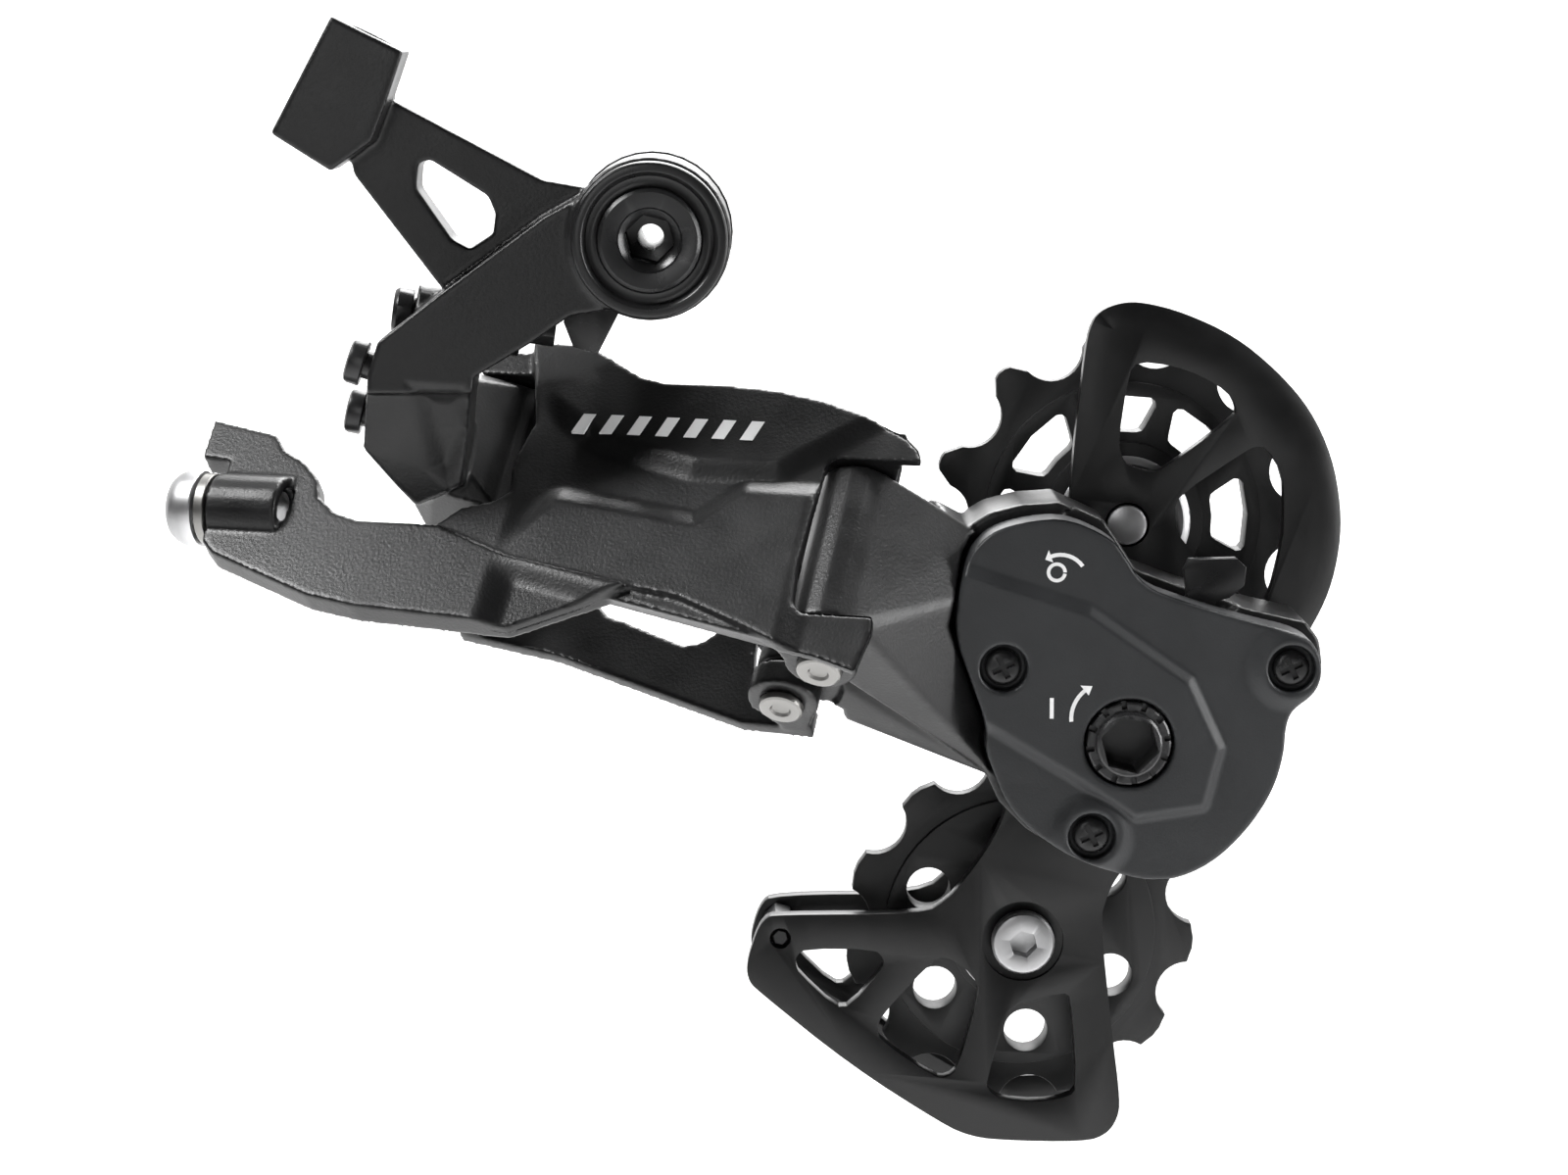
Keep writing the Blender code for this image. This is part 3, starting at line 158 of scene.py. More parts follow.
def node_material(name, finish):
    """Paint or metal with a fine grain, uneven gloss, and sharp edges made paler, a painted
    highlight.
    """
    colour, metallic, roughness, grain, depth, spread, specular = finish
    made = bpy.data.materials.new(name)
    made.use_nodes = True
    tree = made.node_tree
    link = tree.links.new
    shader = tree.nodes["Principled BSDF"]
    place = tree.nodes.new("ShaderNodeTexCoord")
    fine = tree.nodes.new("ShaderNodeTexNoise")
    fine.inputs["Scale"].default_value = grain
    fine.inputs["Detail"].default_value = GRAIN_DETAIL
    link(place.outputs["Object"], fine.inputs["Vector"])
    bump = tree.nodes.new("ShaderNodeBump")
    bump.inputs["Strength"].default_value = depth
    bump.inputs["Distance"].default_value = GRAIN_HEIGHT
    link(fine.outputs["Fac"], bump.inputs["Height"])
    link(bump.outputs["Normal"], shader.inputs["Normal"])
    broad = tree.nodes.new("ShaderNodeTexNoise")
    broad.inputs["Scale"].default_value = PATCH_SIZE
    broad.inputs["Detail"].default_value = PATCH_DETAIL
    link(place.outputs["Object"], broad.inputs["Vector"])
    gloss = tree.nodes.new("ShaderNodeMapRange")
    gloss.inputs["From Min"].default_value = 0.3
    gloss.inputs["From Max"].default_value = 0.7
    gloss.inputs["To Min"].default_value = roughness - spread / 2
    gloss.inputs["To Max"].default_value = roughness + spread / 2
    link(broad.outputs["Fac"], gloss.inputs["Value"])
    link(gloss.outputs["Result"], shader.inputs["Roughness"])
    tint = tree.nodes.new("ShaderNodeMixRGB")
    tint.inputs["Color1"].default_value = (*[c * 0.8 for c in colour], 1.0)
    tint.inputs["Color2"].default_value = (*[min(1.0, c * 1.25) for c in colour], 1.0)
    link(broad.outputs["Fac"], tint.inputs["Fac"])
    # Painted highlight: pointiness picks out sharp edges and mixes them towards a paler colour.
    shape = tree.nodes.new("ShaderNodeNewGeometry")
    edge_highlight_mask = tree.nodes.new("ShaderNodeMapRange")
    edge_highlight_mask.inputs["From Min"].default_value = EDGE_STARTS
    edge_highlight_mask.inputs["From Max"].default_value = EDGE_FULL
    edge_highlight_mask.inputs["To Max"].default_value = EDGE_HIGHLIGHT
    link(shape.outputs["Pointiness"], edge_highlight_mask.inputs["Value"])
    edge_highlight_mix = tree.nodes.new("ShaderNodeMixRGB")
    edge_highlight_mix.inputs["Color2"].default_value = (*[min(1.0, c * 2.2 + 0.012) for c in colour], 1.0)
    link(edge_highlight_mask.outputs["Result"], edge_highlight_mix.inputs["Fac"])
    link(tint.outputs["Color"], edge_highlight_mix.inputs["Color1"])
    link(edge_highlight_mix.outputs["Color"], shader.inputs["Base Color"])
    shader.inputs["Metallic"].default_value = metallic
    shader.inputs["Specular IOR Level"].default_value = specular
    return made


materials = {name: node_material(name, finish) for name, finish in FINISHES.items()}

# ---------------------------------------------------------------- shapes


def pins(s, t, h):
    return LINK_ORIGIN + s * LINK_ALONG + t * LINK_IN + h * LINK_UP


def world(x, z, y):
    return Vector((x, y, z))


def wall(s, h, t):
    return pins(s, t, h)


def circle(centre, radius, count=64, start=0.0, stop=360.0):
    whole = abs(stop - start - 360.0) < 1e-6
    steps = count if whole else count - 1
    angles = [math.radians(start + (stop - start) * i / steps) for i in range(count)]
    return [(centre[0] + radius * math.cos(a), centre[1] + radius * math.sin(a)) for a in angles]


def linked(name, mesh):
    made = bpy.data.objects.new(name, mesh)
    bpy.context.scene.collection.objects.link(made)
    return made


def from_points(name, points, faces):
    mesh = bpy.data.meshes.new(name)
    mesh.from_pydata([tuple(p) for p in points], [], faces)
    work = bmesh.new()
    work.from_mesh(mesh)
    bmesh.ops.recalc_face_normals(work, faces=work.faces)
    work.to_mesh(mesh)
    work.free()
    return linked(name, mesh)


def extruded(name, outline, low, high, where=world):
    count = len(outline)
    points = [where(a, b, low) for a, b in outline] + [where(a, b, high) for a, b in outline]
    faces = [list(range(count)), list(range(count, 2 * count))]
    for i in range(count):
        after = (i + 1) % count
        faces.append([i, after, after + count, i + count])
    return from_points(name, points, faces)


def turned(name, profile, base, axis, count=72, closed=False):
    """A solid of revolution from (radius, height) points up the axis."""
    axis = Vector(axis).normalized()
    side = axis.orthogonal().normalized()
    other = axis.cross(side)
    points, rings = [], []
    for radius, height in profile:
        centre = Vector(base) + axis * height
        if radius < 1e-6:
            rings.append([len(points)] * count)
            points.append(centre)
            continue
        rings.append(list(range(len(points), len(points) + count)))
        for i in range(count):
            angle = 2.0 * math.pi * i / count
            points.append(centre + radius * (math.cos(angle) * side + math.sin(angle) * other))
    pairs = list(zip(rings, rings[1:]))
    if closed:
        pairs.append((rings[-1], rings[0]))
    faces = []
    for low, high in pairs:
        for i in range(count):
            j = (i + 1) % count
            corners = [low[i], low[j], high[j], high[i]]
            corners = [c for k, c in enumerate(corners) if c not in corners[:k]]
            if len(corners) > 2:
                faces.append(corners)
    return from_points(name, points, faces)


def hexagon(across, base, axis, depth):
    corner = across / math.sqrt(3.0)
    return turned("hex", ((0, 0), (corner, 0), (corner, depth), (0, depth)), base, axis, 6)


def bar(place, axis, across, half_length, half_width, depth):
    """A straight-sided cutter for cross recesses."""
    axis = Vector(axis).normalized()
    across = Vector(across).normalized()
    side = axis.cross(across)
    base = Vector(place)
    corners = [(-1, -1), (1, -1), (1, 1), (-1, 1)]
    points = [
        base + axis * h + across * (half_length * i) + side * (half_width * j)
        for h in (0.0, depth) for i, j in corners
    ]
    faces = [[0, 1, 2, 3], [4, 5, 6, 7]]
    for i in range(4):
        after = (i + 1) % 4
        faces.append([i, after, after + 4, i + 4])
    return from_points("bar", points, faces)


def settle(piece):
    """Writes the modifiers' result into the mesh."""
    bpy.context.view_layer.update()
    graph = bpy.context.evaluated_depsgraph_get()
    made = bpy.data.meshes.new_from_object(piece.evaluated_get(graph))
    piece.modifiers.clear()
    piece.data = made
    return piece


def boolean(piece, operation, *tools):
    for tool in tools:
        step = piece.modifiers.new("step", "BOOLEAN")
        step.operation = operation
        step.solver = "EXACT"
        step.object = tool
    settle(piece)
    for tool in tools:
        bpy.data.objects.remove(tool, do_unlink=True)
    return piece


def cut(piece, *tools):
    return boolean(piece, "DIFFERENCE", *tools)


def join(piece, *tools):
    return boolean(piece, "UNION", *tools)


def bevel(piece, width, segments=2, angle=35.0):
    edge = piece.modifiers.new("edge", "BEVEL")
    edge.width = width
    edge.segments = segments
    edge.limit_method = "ANGLE"
    edge.angle_limit = math.radians(angle)
    edge.use_clamp_overlap = True
    return settle(piece)


def wear_finish(piece, body, slot, sharp=30.0, material=None):
    """Puts a finished piece, built in mm, on its body with its material."""
    piece.data.transform(Matrix.Scale(MM, 4))
    piece.data.materials.clear()
    piece.data.materials.append(materials[material or slot])
    for face in piece.data.polygons:
        face.use_smooth = True
        face.material_index = 0
    piece.data.set_sharp_from_angle(angle=math.radians(sharp))
    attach(piece, body)
    return piece


def stand_for(node, piece, sharp=30.0):
    piece.name = f"{node}_look"
    wear_finish(piece, body_of[node], slots[node], sharp)
    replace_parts(piece, node)
    return piece


def clean_copy(node):
    """The CAD node's shape in mm, with its flat faces whole again."""
    work = bmesh.new()
    work.from_mesh(nodes[node].data)
    bmesh.ops.scale(work, vec=(1000.0, 1000.0, 1000.0), verts=work.verts)
    bmesh.ops.remove_doubles(work, verts=work.verts, dist=0.002)
    bmesh.ops.dissolve_limit(
        work, angle_limit=math.radians(0.6), verts=work.verts, edges=work.edges
    )
    mesh = bpy.data.meshes.new(node)
    work.to_mesh(mesh)
    work.free()
    return linked(f"{node}_look", mesh)


def rounded(outline, share=0.25, rounds=2):
    """An outline with its corners cut again and again, which curves it."""
    points = [Vector(p) for p in outline]
    for _ in range(rounds):
        fresh = []
        for i, point in enumerate(points):
            after = points[(i + 1) % len(points)]
            fresh.append(point.lerp(after, share))
            fresh.append(point.lerp(after, 1.0 - share))
        points = fresh
    return [(p.x, p.y) for p in points]


# ---------------------------------------------------------------- castings


def remeshed(piece, voxel, rounds):
    fine = piece.modifiers.new("fine", "REMESH")
    fine.mode = "VOXEL"
    fine.voxel_size = voxel
    relax = piece.modifiers.new("relax", "SMOOTH")
    relax.factor = 0.5
    relax.iterations = rounds
    return settle(piece)


def casting(node, voxel, rounds, shape=None):
    """Stands for a CAD casting with the same shape and softened edges."""
    piece = remeshed(clean_copy(node), voxel, rounds)
    if shape:
        shape(piece.data)
    return stand_for(node, piece, 180.0)


def edge_distance(x, z, outline):
    """Distance to an outline, below zero inside it."""
    nearest, inside = 1e9, False
    for i, (ax, az) in enumerate(outline):
        bx, bz = outline[(i + 1) % len(outline)]
        dx, dz = bx - ax, bz - az
        share = ((x - ax) * dx + (z - az) * dz) / (dx * dx + dz * dz)
        share = min(1.0, max(0.0, share))
        nearest = min(nearest, math.hypot(x - ax - share * dx, z - az - share * dz))
        if (az > z) != (bz > z) and x < ax + (z - az) * dx / dz:
            inside = not inside
    return -nearest if inside else nearest


def ramp(value, low, high):
    share = min(1.0, max(0.0, (value - low) / (high - low)))
    return share * share * (3.0 - 2.0 * share)


COVER_RIDGE = (
    (30.0, -36.0), (37.9, -38.9), (49.7, -42.8), (61.1, -50.8), (64.6, -58.3), (63.0, -64.6),
    (55.7, -65.7), (48.8, -61.1), (38.6, -54.8), (30.0, -54.0),
)


def cover_sink(x, z):
    """How far the cover's front falls back at a place, in mm."""
    away = edge_distance(x, z, COVER_RIDGE)
    for sx, sz in COVER_SCREWS:
        away = min(away, 0.4 + max(0.0, math.hypot(x - sx, z - sz) - 3.4) * 0.6)
    return 0.9 * ramp(away, 0.0, 1.6) + 0.35 * ramp(away, 1.6, 14.0)


def shape_cover(mesh):
    """The middle of the cover stands proud of a sloping rim."""
    for vertex in mesh.vertices:
        x, y, z = vertex.co
        if y > COVER_FRONT + 1.2:
            continue
        share = ramp(COVER_FRONT + 1.2 - y, 0.0, 0.7)
        vertex.co.y = y + cover_sink(x, z) * share


def scaled(outline, factor):
    cx, cz = COVER_CENTRE
    return [(cx + (x - cx) * factor, cz + (z - cz) * factor) for x, z in outline]


def cover():
    """Shell over the clutch, with rounded corners and its three screw seats."""
    outline = rounded(COVER_OUTLINE)
    shell = extruded("shell", outline, COVER_FRONT, COVER_BACK)
    room = extruded("room", scaled(outline, 0.84), COVER_FRONT + 2.2, COVER_BACK + 2.0)
    cut(room, *[extruded("boss", circle(place, 3.2), -24.0, -8.0) for place in COVER_SCREWS])
    holes = [extruded("bore", circle(CAGE_AXIS, 5.2), -24.0, -8.0)]
    for place in COVER_SCREWS:
        holes.append(extruded("seat", circle(place, 2.75), -24.0, -18.2))
        holes.append(extruded("hole", circle(place, 1.8), -24.0, -8.0))
    cut(shell, room, *holes)
    remeshed(shell, 0.22, 4)
    shape_cover(shell.data)
    stand_for("clutch_cover", shell, 180.0)


def link_place(point):
    away = point - LINK_ORIGIN
    return away.dot(LINK_ALONG), away.dot(LINK_IN), away.dot(LINK_UP)


KNUCKLE_FACET = (
    (-28.4, -15.6), (-20.6, -16.2), (-19.0, -22.0), (-23.3, -30.4), (-26.2, -27.0),
)


def shape_knuckle(mesh):
    """The lower front of the knuckle falls away to the right of a sharp crease."""
    for vertex in mesh.vertices:
        x, y, z = vertex.co
        if not (-34.0 < x < -18.0 and y < -8.0 and -33.0 < z < -14.0):
            continue
        inside = -edge_distance(x, z, KNUCKLE_FACET)
        vertex.co.y = y + 1.3 * ramp(inside, 0.0, 3.2)


LINK_FLAT = (
    (2.0, 40.0), (5.0, 26.0), (12.0, 20.5), (24.0, 17.2), (33.5, 17.4), (44.0, 26.0), (46.0, 40.0),
)
LINK_SHOULDER = (
    (4.0, 1.0), (9.0, 9.6), (26.0, 6.8), (31.0, 12.0), (38.0, 12.0), (38.0, -8.0), (20.0, -3.0),
)


def shape_link(mesh):
    """Under the flat band the link's outside is scooped, down to a raised lower shoulder."""
    for vertex in mesh.vertices:
        s, t, h = link_place(vertex.co)
        if t > -5.0 or s < 3.0:
            continue
        above = edge_distance(s, h, LINK_FLAT)
        below = edge_distance(s, h, LINK_SHOULDER)
        away = min(above, below + 0.2)
        sink = 0.95 * ramp(away, 0.0, 3.4) * ramp(s, 3.0, 7.0)
        vertex.co += LINK_IN * sink * ramp(-5.0 - t, 0.0, 0.7)


# ---------------------------------------------------------------- turned pieces


def along_y(centre, y=0.0):
    return (centre[0], y, centre[1])


def mounting_bolt():
    """Hollow bolt with rings on its head and a hex socket."""
    profile = (
        (1.5, -17.2), (3.0, -18.8), (3.5, -19.2), (3.7, -19.75), (5.4, -19.8), (5.8, -19.5),
        (6.0, -18.9), (6.6, -18.75), (7.2, -18.9), (7.45, -19.7), (7.7, -20.0), (8.4, -20.0),
        (8.65, -19.9), (8.8, -19.6), (8.8, -18.0), (8.5, -17.6), (5.7, -17.6), (5.7, -0.3),
        (4.9, 0.0), (4.9, 8.4), (4.3, 9.0), (1.5, 9.0),
    )
    bolt = turned("bolt", profile, (0, 0, 0), (0, 1, 0), 96, closed=True)
    cut(bolt, hexagon(5.0, (0, -21, 0), (0, 1, 0), 8.0))
    stand_for("mounting_bolt", bevel(bolt, 0.06, 2, 40.0))


def link_pins():
    """Four rivets with a rolled edge on each head."""
    ears = {
        "outer_pin_b": ((0.0, 0.0), 1.1, 32.3),
        "outer_pin_p": ((42.3, 0.0), -7.0, 22.6),
        "inner_pin_b": ((-7.0, 12.0), 6.5, 28.6),
        "inner_pin_p": ((35.3, 12.0), -4.1, 20.7),
    }
    for node, ((s, t), low_ear, high_ear) in ears.items():
        low, high = low_ear - 1.1, high_ear + 1.1
        profile = (
            (0, low + 0.35), (1.0, low + 0.3), (1.25, low), (2.25, low), (2.5, low + 0.15),
            (2.6, low + 0.4), (2.6, low + 0.8), (2.0, low + 0.8), (2.0, high - 0.8),
            (2.6, high - 0.8), (2.6, high - 0.4), (2.5, high - 0.15), (2.25, high), (1.25, high),
            (1.0, high - 0.3), (0, high - 0.35),
        )
        stand_for(node, turned("pin", profile, pins(s, t, 0), LINK_UP, 48))


def anchor():
    """Domed bolt and washer that clamp the shift cable."""
    base = pins(-32.2, -5.4, 6.2)
    profile = (
        (0, -8.0), (2.5, -8.0), (2.5, 1.8), (4.4, 1.8), (4.5, 1.95), (4.5, 3.3), (4.4, 3.8),
        (4.1, 4.5), (3.6, 5.1), (3.0, 5.45), (2.4, 5.65), (0, 5.7),
    )
    bolt = turned("bolt", profile, base, -LINK_ALONG, 64)
    cut(bolt, hexagon(4.0, base - LINK_ALONG * 3.4, -LINK_ALONG, 4.0))
    stand_for("anchor_bolt", bevel(bolt, 0.08, 2, 40.0))
    profile = ((2.8, 0.3), (4.1, 0.3), (4.2, 0.4), (4.2, 1.4), (4.1, 1.5), (2.8, 1.5))
    stand_for("anchor_washer", turned("washer", profile, base, -LINK_ALONG, 64, closed=True))


def limit_screws():
    """Two cross-recess screws that limit the link's swing."""
    places = (
        ((-32.3, -13.0, -14.6), (-0.95, 0.0, 0.31)),
        ((-32.9, -8.6, -20.6), (-0.97, 0.0, 0.22)),
    )
    for number, (place, axis) in enumerate(places, 1):
        place, axis = Vector(place), Vector(axis).normalized()
        profile = (
            (0, -9.0), (1.6, -9.0), (1.6, 0.5), (2.5, 0.5), (2.6, 0.65), (2.6, 1.9), (2.45, 2.25),
            (2.1, 2.45), (0, 2.5),
        )
        screw = turned("screw", profile, place, axis, 40)
        top = place + axis * 1.5
        side = Vector((0, 1, 0))
        cross = axis.cross(side)
        cut(screw, bar(top, axis, side, 1.7, 0.35, 3), bar(top, axis, cross, 1.7, 0.35, 3))
        stand_for(f"limit_screw_{number}", bevel(screw, 0.06, 1, 40.0))


def cover_screws():
    """Three sunk cross-recess screws in the clutch's cover."""
    for number, centre in enumerate(COVER_SCREWS, 1):
        profile = (
            (0, -19.2), (1.0, -19.28), (1.7, -19.2), (2.0, -19.0), (2.1, -18.8), (2.1, -18.5),
            (1.5, -17.9), (1.5, -7.0), (0, -7.0),
        )
        screw = turned("screw", profile, along_y(centre), (0, 1, 0), 40)
        top = along_y(centre, -21.0)
        slant = Vector((0.9, 0.0, 0.43))
        cross = slant.cross(Vector((0, 1, 0)))
        cut(screw, *[bar(top, (0, 1, 0), way, 1.35, 0.33, 2.3) for way in (slant, cross)])
        stand_for(f"cover_screw_{number}", bevel(screw, 0.05, 1, 40.0))


def clutch_spindle():
    """Spindle of the clutch switch, with a notched flange and a hex socket."""
    profile = (
        (0, -20.8), (3.5, -20.8), (3.75, -20.6), (3.8, -20.0), (4.6, -20.0), (4.8, -19.85),
        (4.9, -19.6), (4.9, -18.6), (4.6, -18.4), (4.6, -13.3), (3.6, -13.3), (3.6, -10.8),
        (0, -10.8),
    )
    spindle = turned("spindle", profile, along_y(CAGE_AXIS), (0, 1, 0), 72)
    notches = [hexagon(6.0, along_y(CAGE_AXIS, -22.0), (0, 1, 0), 6.0)]
    for i in range(12):
        angle = math.radians(30.0 * i + 8.0)
        out = Vector((math.cos(angle), 0, math.sin(angle)))
        place = Vector(along_y(CAGE_AXIS, -20.5)) + out * 4.6
        notches.append(bar(place, (0, 1, 0), out, 0.55, 0.32, 1.3))
    cut(spindle, *notches)
    stand_for("clutch_spindle", bevel(spindle, 0.06, 2, 40.0))


def pulley_bolts():
    """Axle bolts of both pulleys."""
    profile = (
        (0, 2.2), (2.0, 2.2), (2.3, 2.35), (2.4, 2.6), (2.4, 15.8), (4.1, 15.8), (4.2, 15.9),
        (4.2, 17.5), (4.0, 17.9), (3.7, 18.0), (0, 18.0),
    )
    bolt = turned("bolt", profile, along_y(GUIDE_CENTRE), (0, 1, 0), 48)
    cut(bolt, hexagon(3.0, along_y(GUIDE_CENTRE, 16.0), (0, 1, 0), 4.0))
    stand_for("guide_bolt", bevel(bolt, 0.07, 2, 40.0))
    profile = (
        (0, 1.2), (3.2, 1.2), (3.6, 1.35), (3.85, 1.75), (3.85, 3.0), (2.4, 3.0), (2.4, 16.2),
        (2.1, 16.5), (0, 16.5),
    )
    bolt = turned("bolt", profile, along_y(TENSION_CENTRE), (0, 1, 0), 64)
    cut(bolt, hexagon(3.0, along_y(TENSION_CENTRE, 0.0), (0, 1, 0), 3.2))
    stand_for("tension_bolt", bevel(bolt, 0.07, 2, 40.0))


def bushes_and_caps():
    """Bearing sleeves of the pulleys, and the dished caps beside them."""
    for label, centre in (("guide", GUIDE_CENTRE), ("tension", TENSION_CENTRE)):
        profile = ((2.7, 4.8), (3.8, 4.8), (4.0, 5.0), (4.0, 13.0), (3.8, 13.2), (2.7, 13.2))
        bush = turned("bush", profile, along_y(centre), (0, 1, 0), 48, closed=True)
        stand_for(f"{label}_bush", bush)
        for side, near, turn in (("outer", 4.9, 1.0), ("inner", 13.1, -1.0)):
            steps = ((4.3, 0.0), (4.9, 0.0), (5.2, 0.2), (6.6, 0.2), (7.1, 0.0), (7.8, 0.3),
                     (8.0, 0.5), (8.0, 0.8), (4.3, 0.8))
            profile = [(radius, near + turn * lift) for radius, lift in steps]
            cap = turned("cap", profile, along_y(centre), (0, 1, 0), 64, closed=True)
            stand_for(f"{label}_cap_{side}", cap)


# ---------------------------------------------------------------- pulleys


def pulley_outline(centre, first_tooth, tip_radius, tip_half):
    """Seats for the chain's rollers, with a narrow tip between each two."""
    outline = []
    pitch = 360.0 / TEETH
    for i in range(TEETH):
        seat = first_tooth + pitch * (i + 0.5)
        a = math.radians(seat)
        middle = (centre[0] + PITCH_RADIUS * math.cos(a), centre[1] + PITCH_RADIUS * math.sin(a))
        outline += circle(middle, 3.9, 13, seat + 180 + 68, seat + 180 - 68)
        tip = seat + pitch / 2.0
        for spread in (-1.0, -0.4, 0.4, 1.0):
            turn = math.radians(tip) + spread * tip_half / tip_radius
            radius = tip_radius - (0.22 if abs(spread) > 0.9 else 0.0)
            x = centre[0] + radius * math.cos(turn)
            z = centre[1] + radius * math.sin(turn)
            outline.append((x, z))
    return outline


def rounded_sector(centre, inner, outer, middle, inner_half, outer_half, corner=0.9):
    """Window between two radii, with rounded corners."""
    points = []
    rows = ((outer, outer_half, 1), (inner, inner_half, -1))
    for radius, half, way in rows:
        dip = math.degrees(corner / radius)
        inset = corner * way
        edge = [
            (radius - inset, -half), (radius - inset * 0.3, -half + dip * 0.3),
            (radius, -half + dip), (radius, 0.0), (radius, half - dip),
            (radius - inset * 0.3, half - dip * 0.3), (radius - inset, half),
        ]
        points += edge if way > 0 else edge[::-1]
    made = []
    for radius, angle in points:
        a = math.radians(middle + angle)
        made.append((centre[0] + radius * math.cos(a), centre[1] + radius * math.sin(a)))
    return made


def pulley(node, centre, outline, hub_radius, windows):
    y = PULLEY_Y
    disc = extruded("disc", outline, y - 1.1, y + 1.1)
    ring = extruded("ring", circle(centre, 16.8, 96), y - 2.0, y + 2.0)
    hub = extruded("hub", circle(centre, hub_radius, 72), y - 3.0, y + 3.0)
    join(disc, ring, hub)
    cut(disc, *[extruded("window", window, 0.0, 18.0) for window in windows])
    cut(disc, extruded("bore", circle(centre, 4.3, 48), 0.0, 18.0))
    stand_for(node, bevel(disc, 0.22, 2, 30.0))


def pulleys():
    windows = [
        rounded_sector(GUIDE_CENTRE, 10.8, 15.2, 2.5 + 45.0 * i, 15.0, 18.0) for i in range(8)
    ]
    outline = pulley_outline(GUIDE_CENTRE, 129.5, 23.3, 1.1)
    pulley("guide_pulley", GUIDE_CENTRE, outline, 9.6, windows)
    holes = []
    for i in range(6):
        angle = math.radians(-26.0 + 60.0 * i)
        x = TENSION_CENTRE[0] + 12.6 * math.cos(angle)
        z = TENSION_CENTRE[1] + 12.6 * math.sin(angle)
        holes.append(circle((x, z), 2.7, 32))
    outline = pulley_outline(TENSION_CENTRE, -4.6, 21.7, 1.7)
    pulley("tension_pulley", TENSION_CENTRE, outline, 8.8, holes)


# ---------------------------------------------------------------- cage plates

CHAMFER_WIDE = 2.5
CHAMFER_DEEP = 0.8
OUTER_PLATE = (2.5, 4.5)
INNER_PLATE = (13.5, 15.5)
BOLT_HOLE = 2.7
AXLE_HOLE = 5.1
DIMPLE = 5.0
DIMPLE_FLOOR = 3.3
SPACER_HOLE = 1.3
PLATE_EDGE = 0.22


def guard_rim(x, z):
    return x > 52.5 and z > -52.0


def plate_blank(outline, low, high):
    """A plate whose guard has a wide, shallow chamfer round its outside."""
    stretch = CHAMFER_WIDE / CHAMFER_DEEP
    blank = extruded("plate", outline, 0.0, (high - low) * stretch)
    work = bmesh.new()
    work.from_mesh(blank.data)
    rim = [
        edge for edge in work.edges
        if all(abs(v.co.y) < 1e-4 and guard_rim(v.co.x, v.co.z) for v in edge.verts)
    ]
    bmesh.ops.bevel(
        work, geom=rim, offset=CHAMFER_WIDE, segments=1, affect="EDGES", clamp_overlap=False
    )
    for vertex in work.verts:
        vertex.co.y = low + vertex.co.y / stretch
    work.to_mesh(blank.data)
    work.free()
    return blank


def bolt_holes():
    centres = (GUIDE_CENTRE, TENSION_CENTRE)
    return [extruded("hole", circle(centre, BOLT_HOLE, 40), 0, 20) for centre in centres]


def rounded_windows(outlines, low, high):
    return [extruded("window", rounded(outline, 0.25, 1), low, high) for outline in outlines]


def plates():
    """Both cage plates, the outer one with the guard and its chamfer."""
    outer = plate_blank(rounded(OUTER_PLATE_OUTLINE), *OUTER_PLATE)
    cut(
        outer,
        *bolt_holes(),
        *rounded_windows(GUARD_WINDOWS + TAIL_WINDOWS, 0.0, 8.0),
        extruded("axle", circle(CAGE_AXIS, AXLE_HOLE), 0.0, 8.0),
        extruded("dimple", circle(TENSION_CENTRE, DIMPLE), 0.0, DIMPLE_FLOOR),
        extruded("spacer", circle(SPACER, SPACER_HOLE, 32), 0.0, 8.0),
    )
    stand_for("cage_outer_plate", bevel(outer, PLATE_EDGE, 2, 28.0), 24.0)
    inner = extruded("plate", rounded(INNER_PLATE_OUTLINE), *INNER_PLATE)
    cut(
        inner,
        *bolt_holes(),
        *rounded_windows(TAIL_WINDOWS, 10.0, 20.0),
        extruded("spacer", circle(SPACER, SPACER_HOLE, 32), 10.0, 20.0),
    )
    stand_for("cage_inner_plate", bevel(inner, PLATE_EDGE, 2, 28.0), 24.0)


# ---------------------------------------------------------------- marks


STRIPES = 7
STRIPE_START = 8.2
STRIPE_STEP = 3.4
STRIPE_WIDE = 1.5
STRIPE_SLANT = 0.9
STRIPE_FOOT = 19.8
STRIPE_TOP = 22.6
STRIPE_DEPTH = (-6.07, -5.7)


def marks():
    """Pale printed stripes on the link, and the switch's two marks on its cover."""
    for number in range(STRIPES):
        s = STRIPE_START + STRIPE_STEP * number
        end = s + STRIPE_WIDE
        outline = (
            (s, STRIPE_FOOT), (end, STRIPE_FOOT),
            (end + STRIPE_SLANT, STRIPE_TOP), (s + STRIPE_SLANT, STRIPE_TOP),
        )
        stripe = extruded(f"link_stripe_{number}", outline, *STRIPE_DEPTH, wall)
        wear_finish(stripe, "outer_link_body", "black_paint", 30.0, "white_mark")
    for name, outline in switch_marks():
        mark = extruded(name, outline, -0.03, 0.3)
        for vertex in mark.data.vertices:
            vertex.co.y += COVER_FRONT + cover_sink(vertex.co.x, vertex.co.z)
        wear_finish(mark, "p_knuckle_body", "grey_paint", 30.0, "white_mark")


def arrow(centre, radius, start, stop):
    """A curved arrow that widens to its middle and ends in a point."""
    outer = circle(centre, radius + 0.45, 9, start, stop)
    inner = circle(centre, radius, 9, start, stop)[::-1]
    step = 14.0 if stop > start else -14.0
    tip = circle(centre, radius + 0.2, 2, stop + step, stop)[0]
    wide = circle(centre, radius + 1.0, 2, stop, start)[0]
    low = circle(centre, radius - 0.5, 2, stop, start)[0]
    return outer + [wide, tip, low] + inner


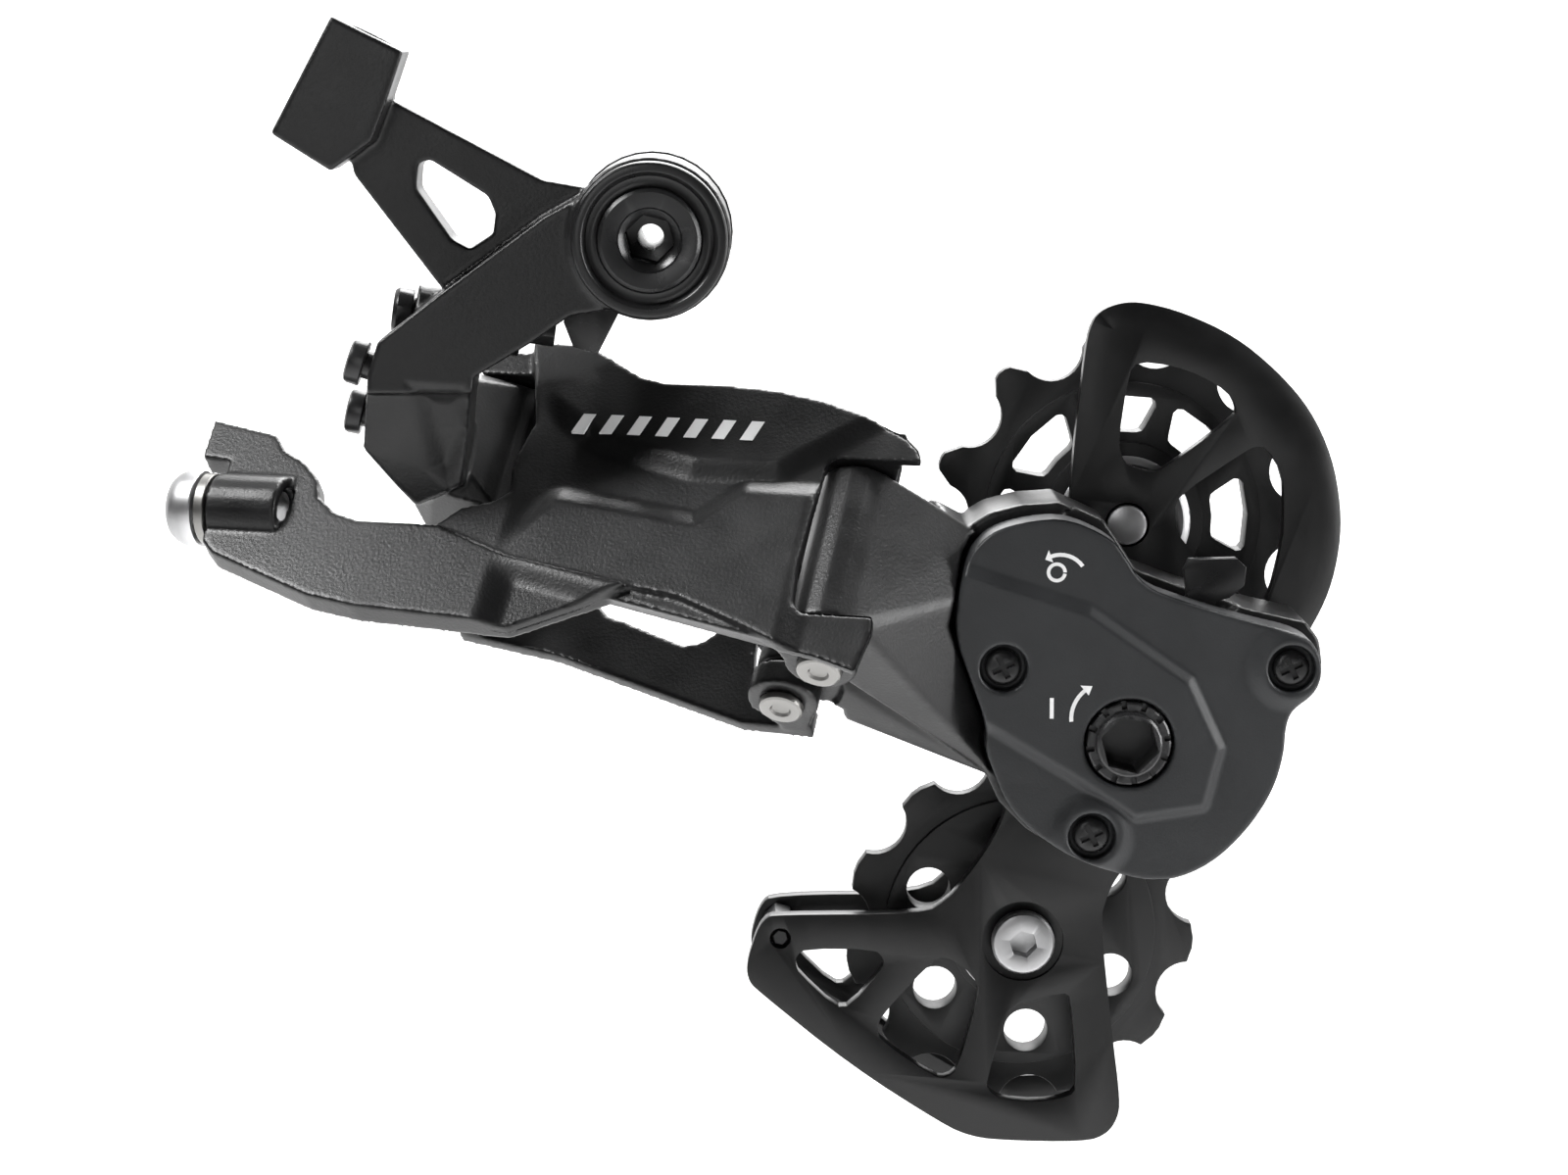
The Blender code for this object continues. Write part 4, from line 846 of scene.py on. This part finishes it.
def switch_marks():
    """Ring for off, bar for on, and an arrow to each."""
    ring = circle((46.2, -37.8), 1.15, 32, 0.0, 350.0)
    hole = circle((46.2, -37.8), 0.75, 32, 0.0, 350.0)[::-1]
    bar_mark = ((45.5, -54.6), (45.95, -54.6), (45.95, -52.2), (45.5, -52.2))
    return (
        ("switch_ring", ring + hole),
        ("switch_bar", bar_mark),
        ("switch_arrow_open", arrow((46.6, -38.9), 2.9, 35.0, 110.0)),
        ("switch_arrow_shut", arrow((52.2, -54.6), 4.0, 185.0, 130.0)),
    )


# ---------------------------------------------------------------- assembly

BEVELLED = {
    "stop_plate": 0.2, "clutch_lever": 0.15,
    "cage_spacer": 0.12, "b_screw": 0.1, "cage_axle": 0.1,
}


def build():
    """Makes every piece, then dresses the CAD nodes that still show."""
    casting("b_knuckle", 0.26, 9, shape_knuckle)
    casting("outer_link", 0.26, 9, shape_link)
    casting("inner_link", 0.30, 6)
    casting("p_knuckle", 0.28, 12)
    cover()
    plates()
    for make in (mounting_bolt, link_pins, anchor, limit_screws, cover_screws, clutch_spindle,
                 pulley_bolts, bushes_and_caps, pulleys, marks):
        make()
    for node, width in BEVELLED.items():
        stand_for(node, bevel(clean_copy(node), width, 2, 30.0))
    replaced = {name for piece in bpy.data.objects for name in piece.get("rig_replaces", [])}
    for node, body in nodes.items():
        if node in replaced:
            continue
        body.data.materials.clear()
        body.data.materials.append(materials[slots[node]])


# ---------------------------------------------------------------- stage


def area_light(name, place, target, size, power):
    """A soft box that faces its target."""
    data = bpy.data.lights.new(name, "AREA")
    data.shape = "RECTANGLE"
    data.size, data.size_y = size
    data.energy = power
    lamp = bpy.data.objects.new(name, data)
    lamp.location = place
    lamp.rotation_euler = (Vector(target) - Vector(place)).to_track_quat("-Z", "Y").to_euler()
    bpy.context.scene.collection.objects.link(lamp)


def stage_plane(name, place, turn, glow):
    half = 2.5
    mesh = bpy.data.meshes.new(name)
    corners = [(-half, -half, 0), (half, -half, 0), (half, half, 0), (-half, half, 0)]
    mesh.from_pydata(corners, [], [(0, 1, 2, 3)])
    plane = linked(name, mesh)
    plane.location = place
    plane.rotation_euler = turn
    made = bpy.data.materials.new(name)
    made.use_nodes = True
    shader = made.node_tree.nodes["Principled BSDF"]
    shader.inputs["Base Color"].default_value = (0.8, 0.8, 0.8, 1.0)
    shader.inputs["Roughness"].default_value = 1.0
    shader.inputs["Emission Color"].default_value = (1.0, 1.0, 1.0, 1.0)
    shader.inputs["Emission Strength"].default_value = glow
    plane.data.materials.append(made)


SENSOR_WIDTH = 36.0
LENS = 78.435
EYE = (0.008659, -0.40354, 0.021827)
LOOK = (0.0165, 0.9874, -0.1574)


def camera():
    data = bpy.data.cameras.new("camera")
    data.sensor_width = SENSOR_WIDTH
    data.lens = LENS
    data.clip_start = 0.01
    data.dof.use_dof = False
    eye = bpy.data.objects.new("camera", data)
    eye.location = EYE
    eye.rotation_euler = Vector(LOOK).to_track_quat("-Z", "Y").to_euler()
    bpy.context.scene.collection.objects.link(eye)
    bpy.context.scene.camera = eye


# How strongly the room lights the object, and how pale it looks behind it.
ROOM_LIGHT = 0.035
ROOM_SHOWN = 0.92


def light_the_stage():
    around = bpy.data.worlds.new("world")
    bpy.context.scene.world = around
    around.use_nodes = True
    background = around.node_tree.nodes["Background"]
    background.inputs["Color"].default_value = (1.0, 1.0, 1.0, 1.0)
    rays = around.node_tree.nodes.new("ShaderNodeLightPath")
    power = around.node_tree.nodes.new("ShaderNodeMapRange")
    power.inputs["To Min"].default_value = ROOM_LIGHT
    power.inputs["To Max"].default_value = ROOM_SHOWN
    around.node_tree.links.new(rays.outputs["Is Camera Ray"], power.inputs["Value"])
    around.node_tree.links.new(power.outputs["Result"], background.inputs["Strength"])
    middle = (0.01, 0.0, -0.045)
    area_light("key", (-0.36, -0.10, 0.38), middle, (0.16, 0.20), 3.6)
    area_light("top", (0.14, 0.24, 0.46), middle, (0.5, 0.16), 4.5)
    area_light("right", (0.50, -0.12, 0.05), middle, (0.10, 0.4), 2.2)
    area_light("front", (-0.12, -0.60, 0.12), middle, (0.10, 0.30), 0.35)
    area_light("rear", (0.10, 0.45, 0.25), middle, (0.5, 0.3), 3.0)
    stage_plane("floor", (0.0, 0.0, -0.30), (0.0, 0.0, 0.0), 0.55)
    stage_plane("backdrop", (0.0, 1.0, 0.0), (math.pi / 2, 0.0, 0.0), 0.95)
    bpy.context.scene.view_settings.view_transform = "Standard"


build()
camera()
light_the_stage()
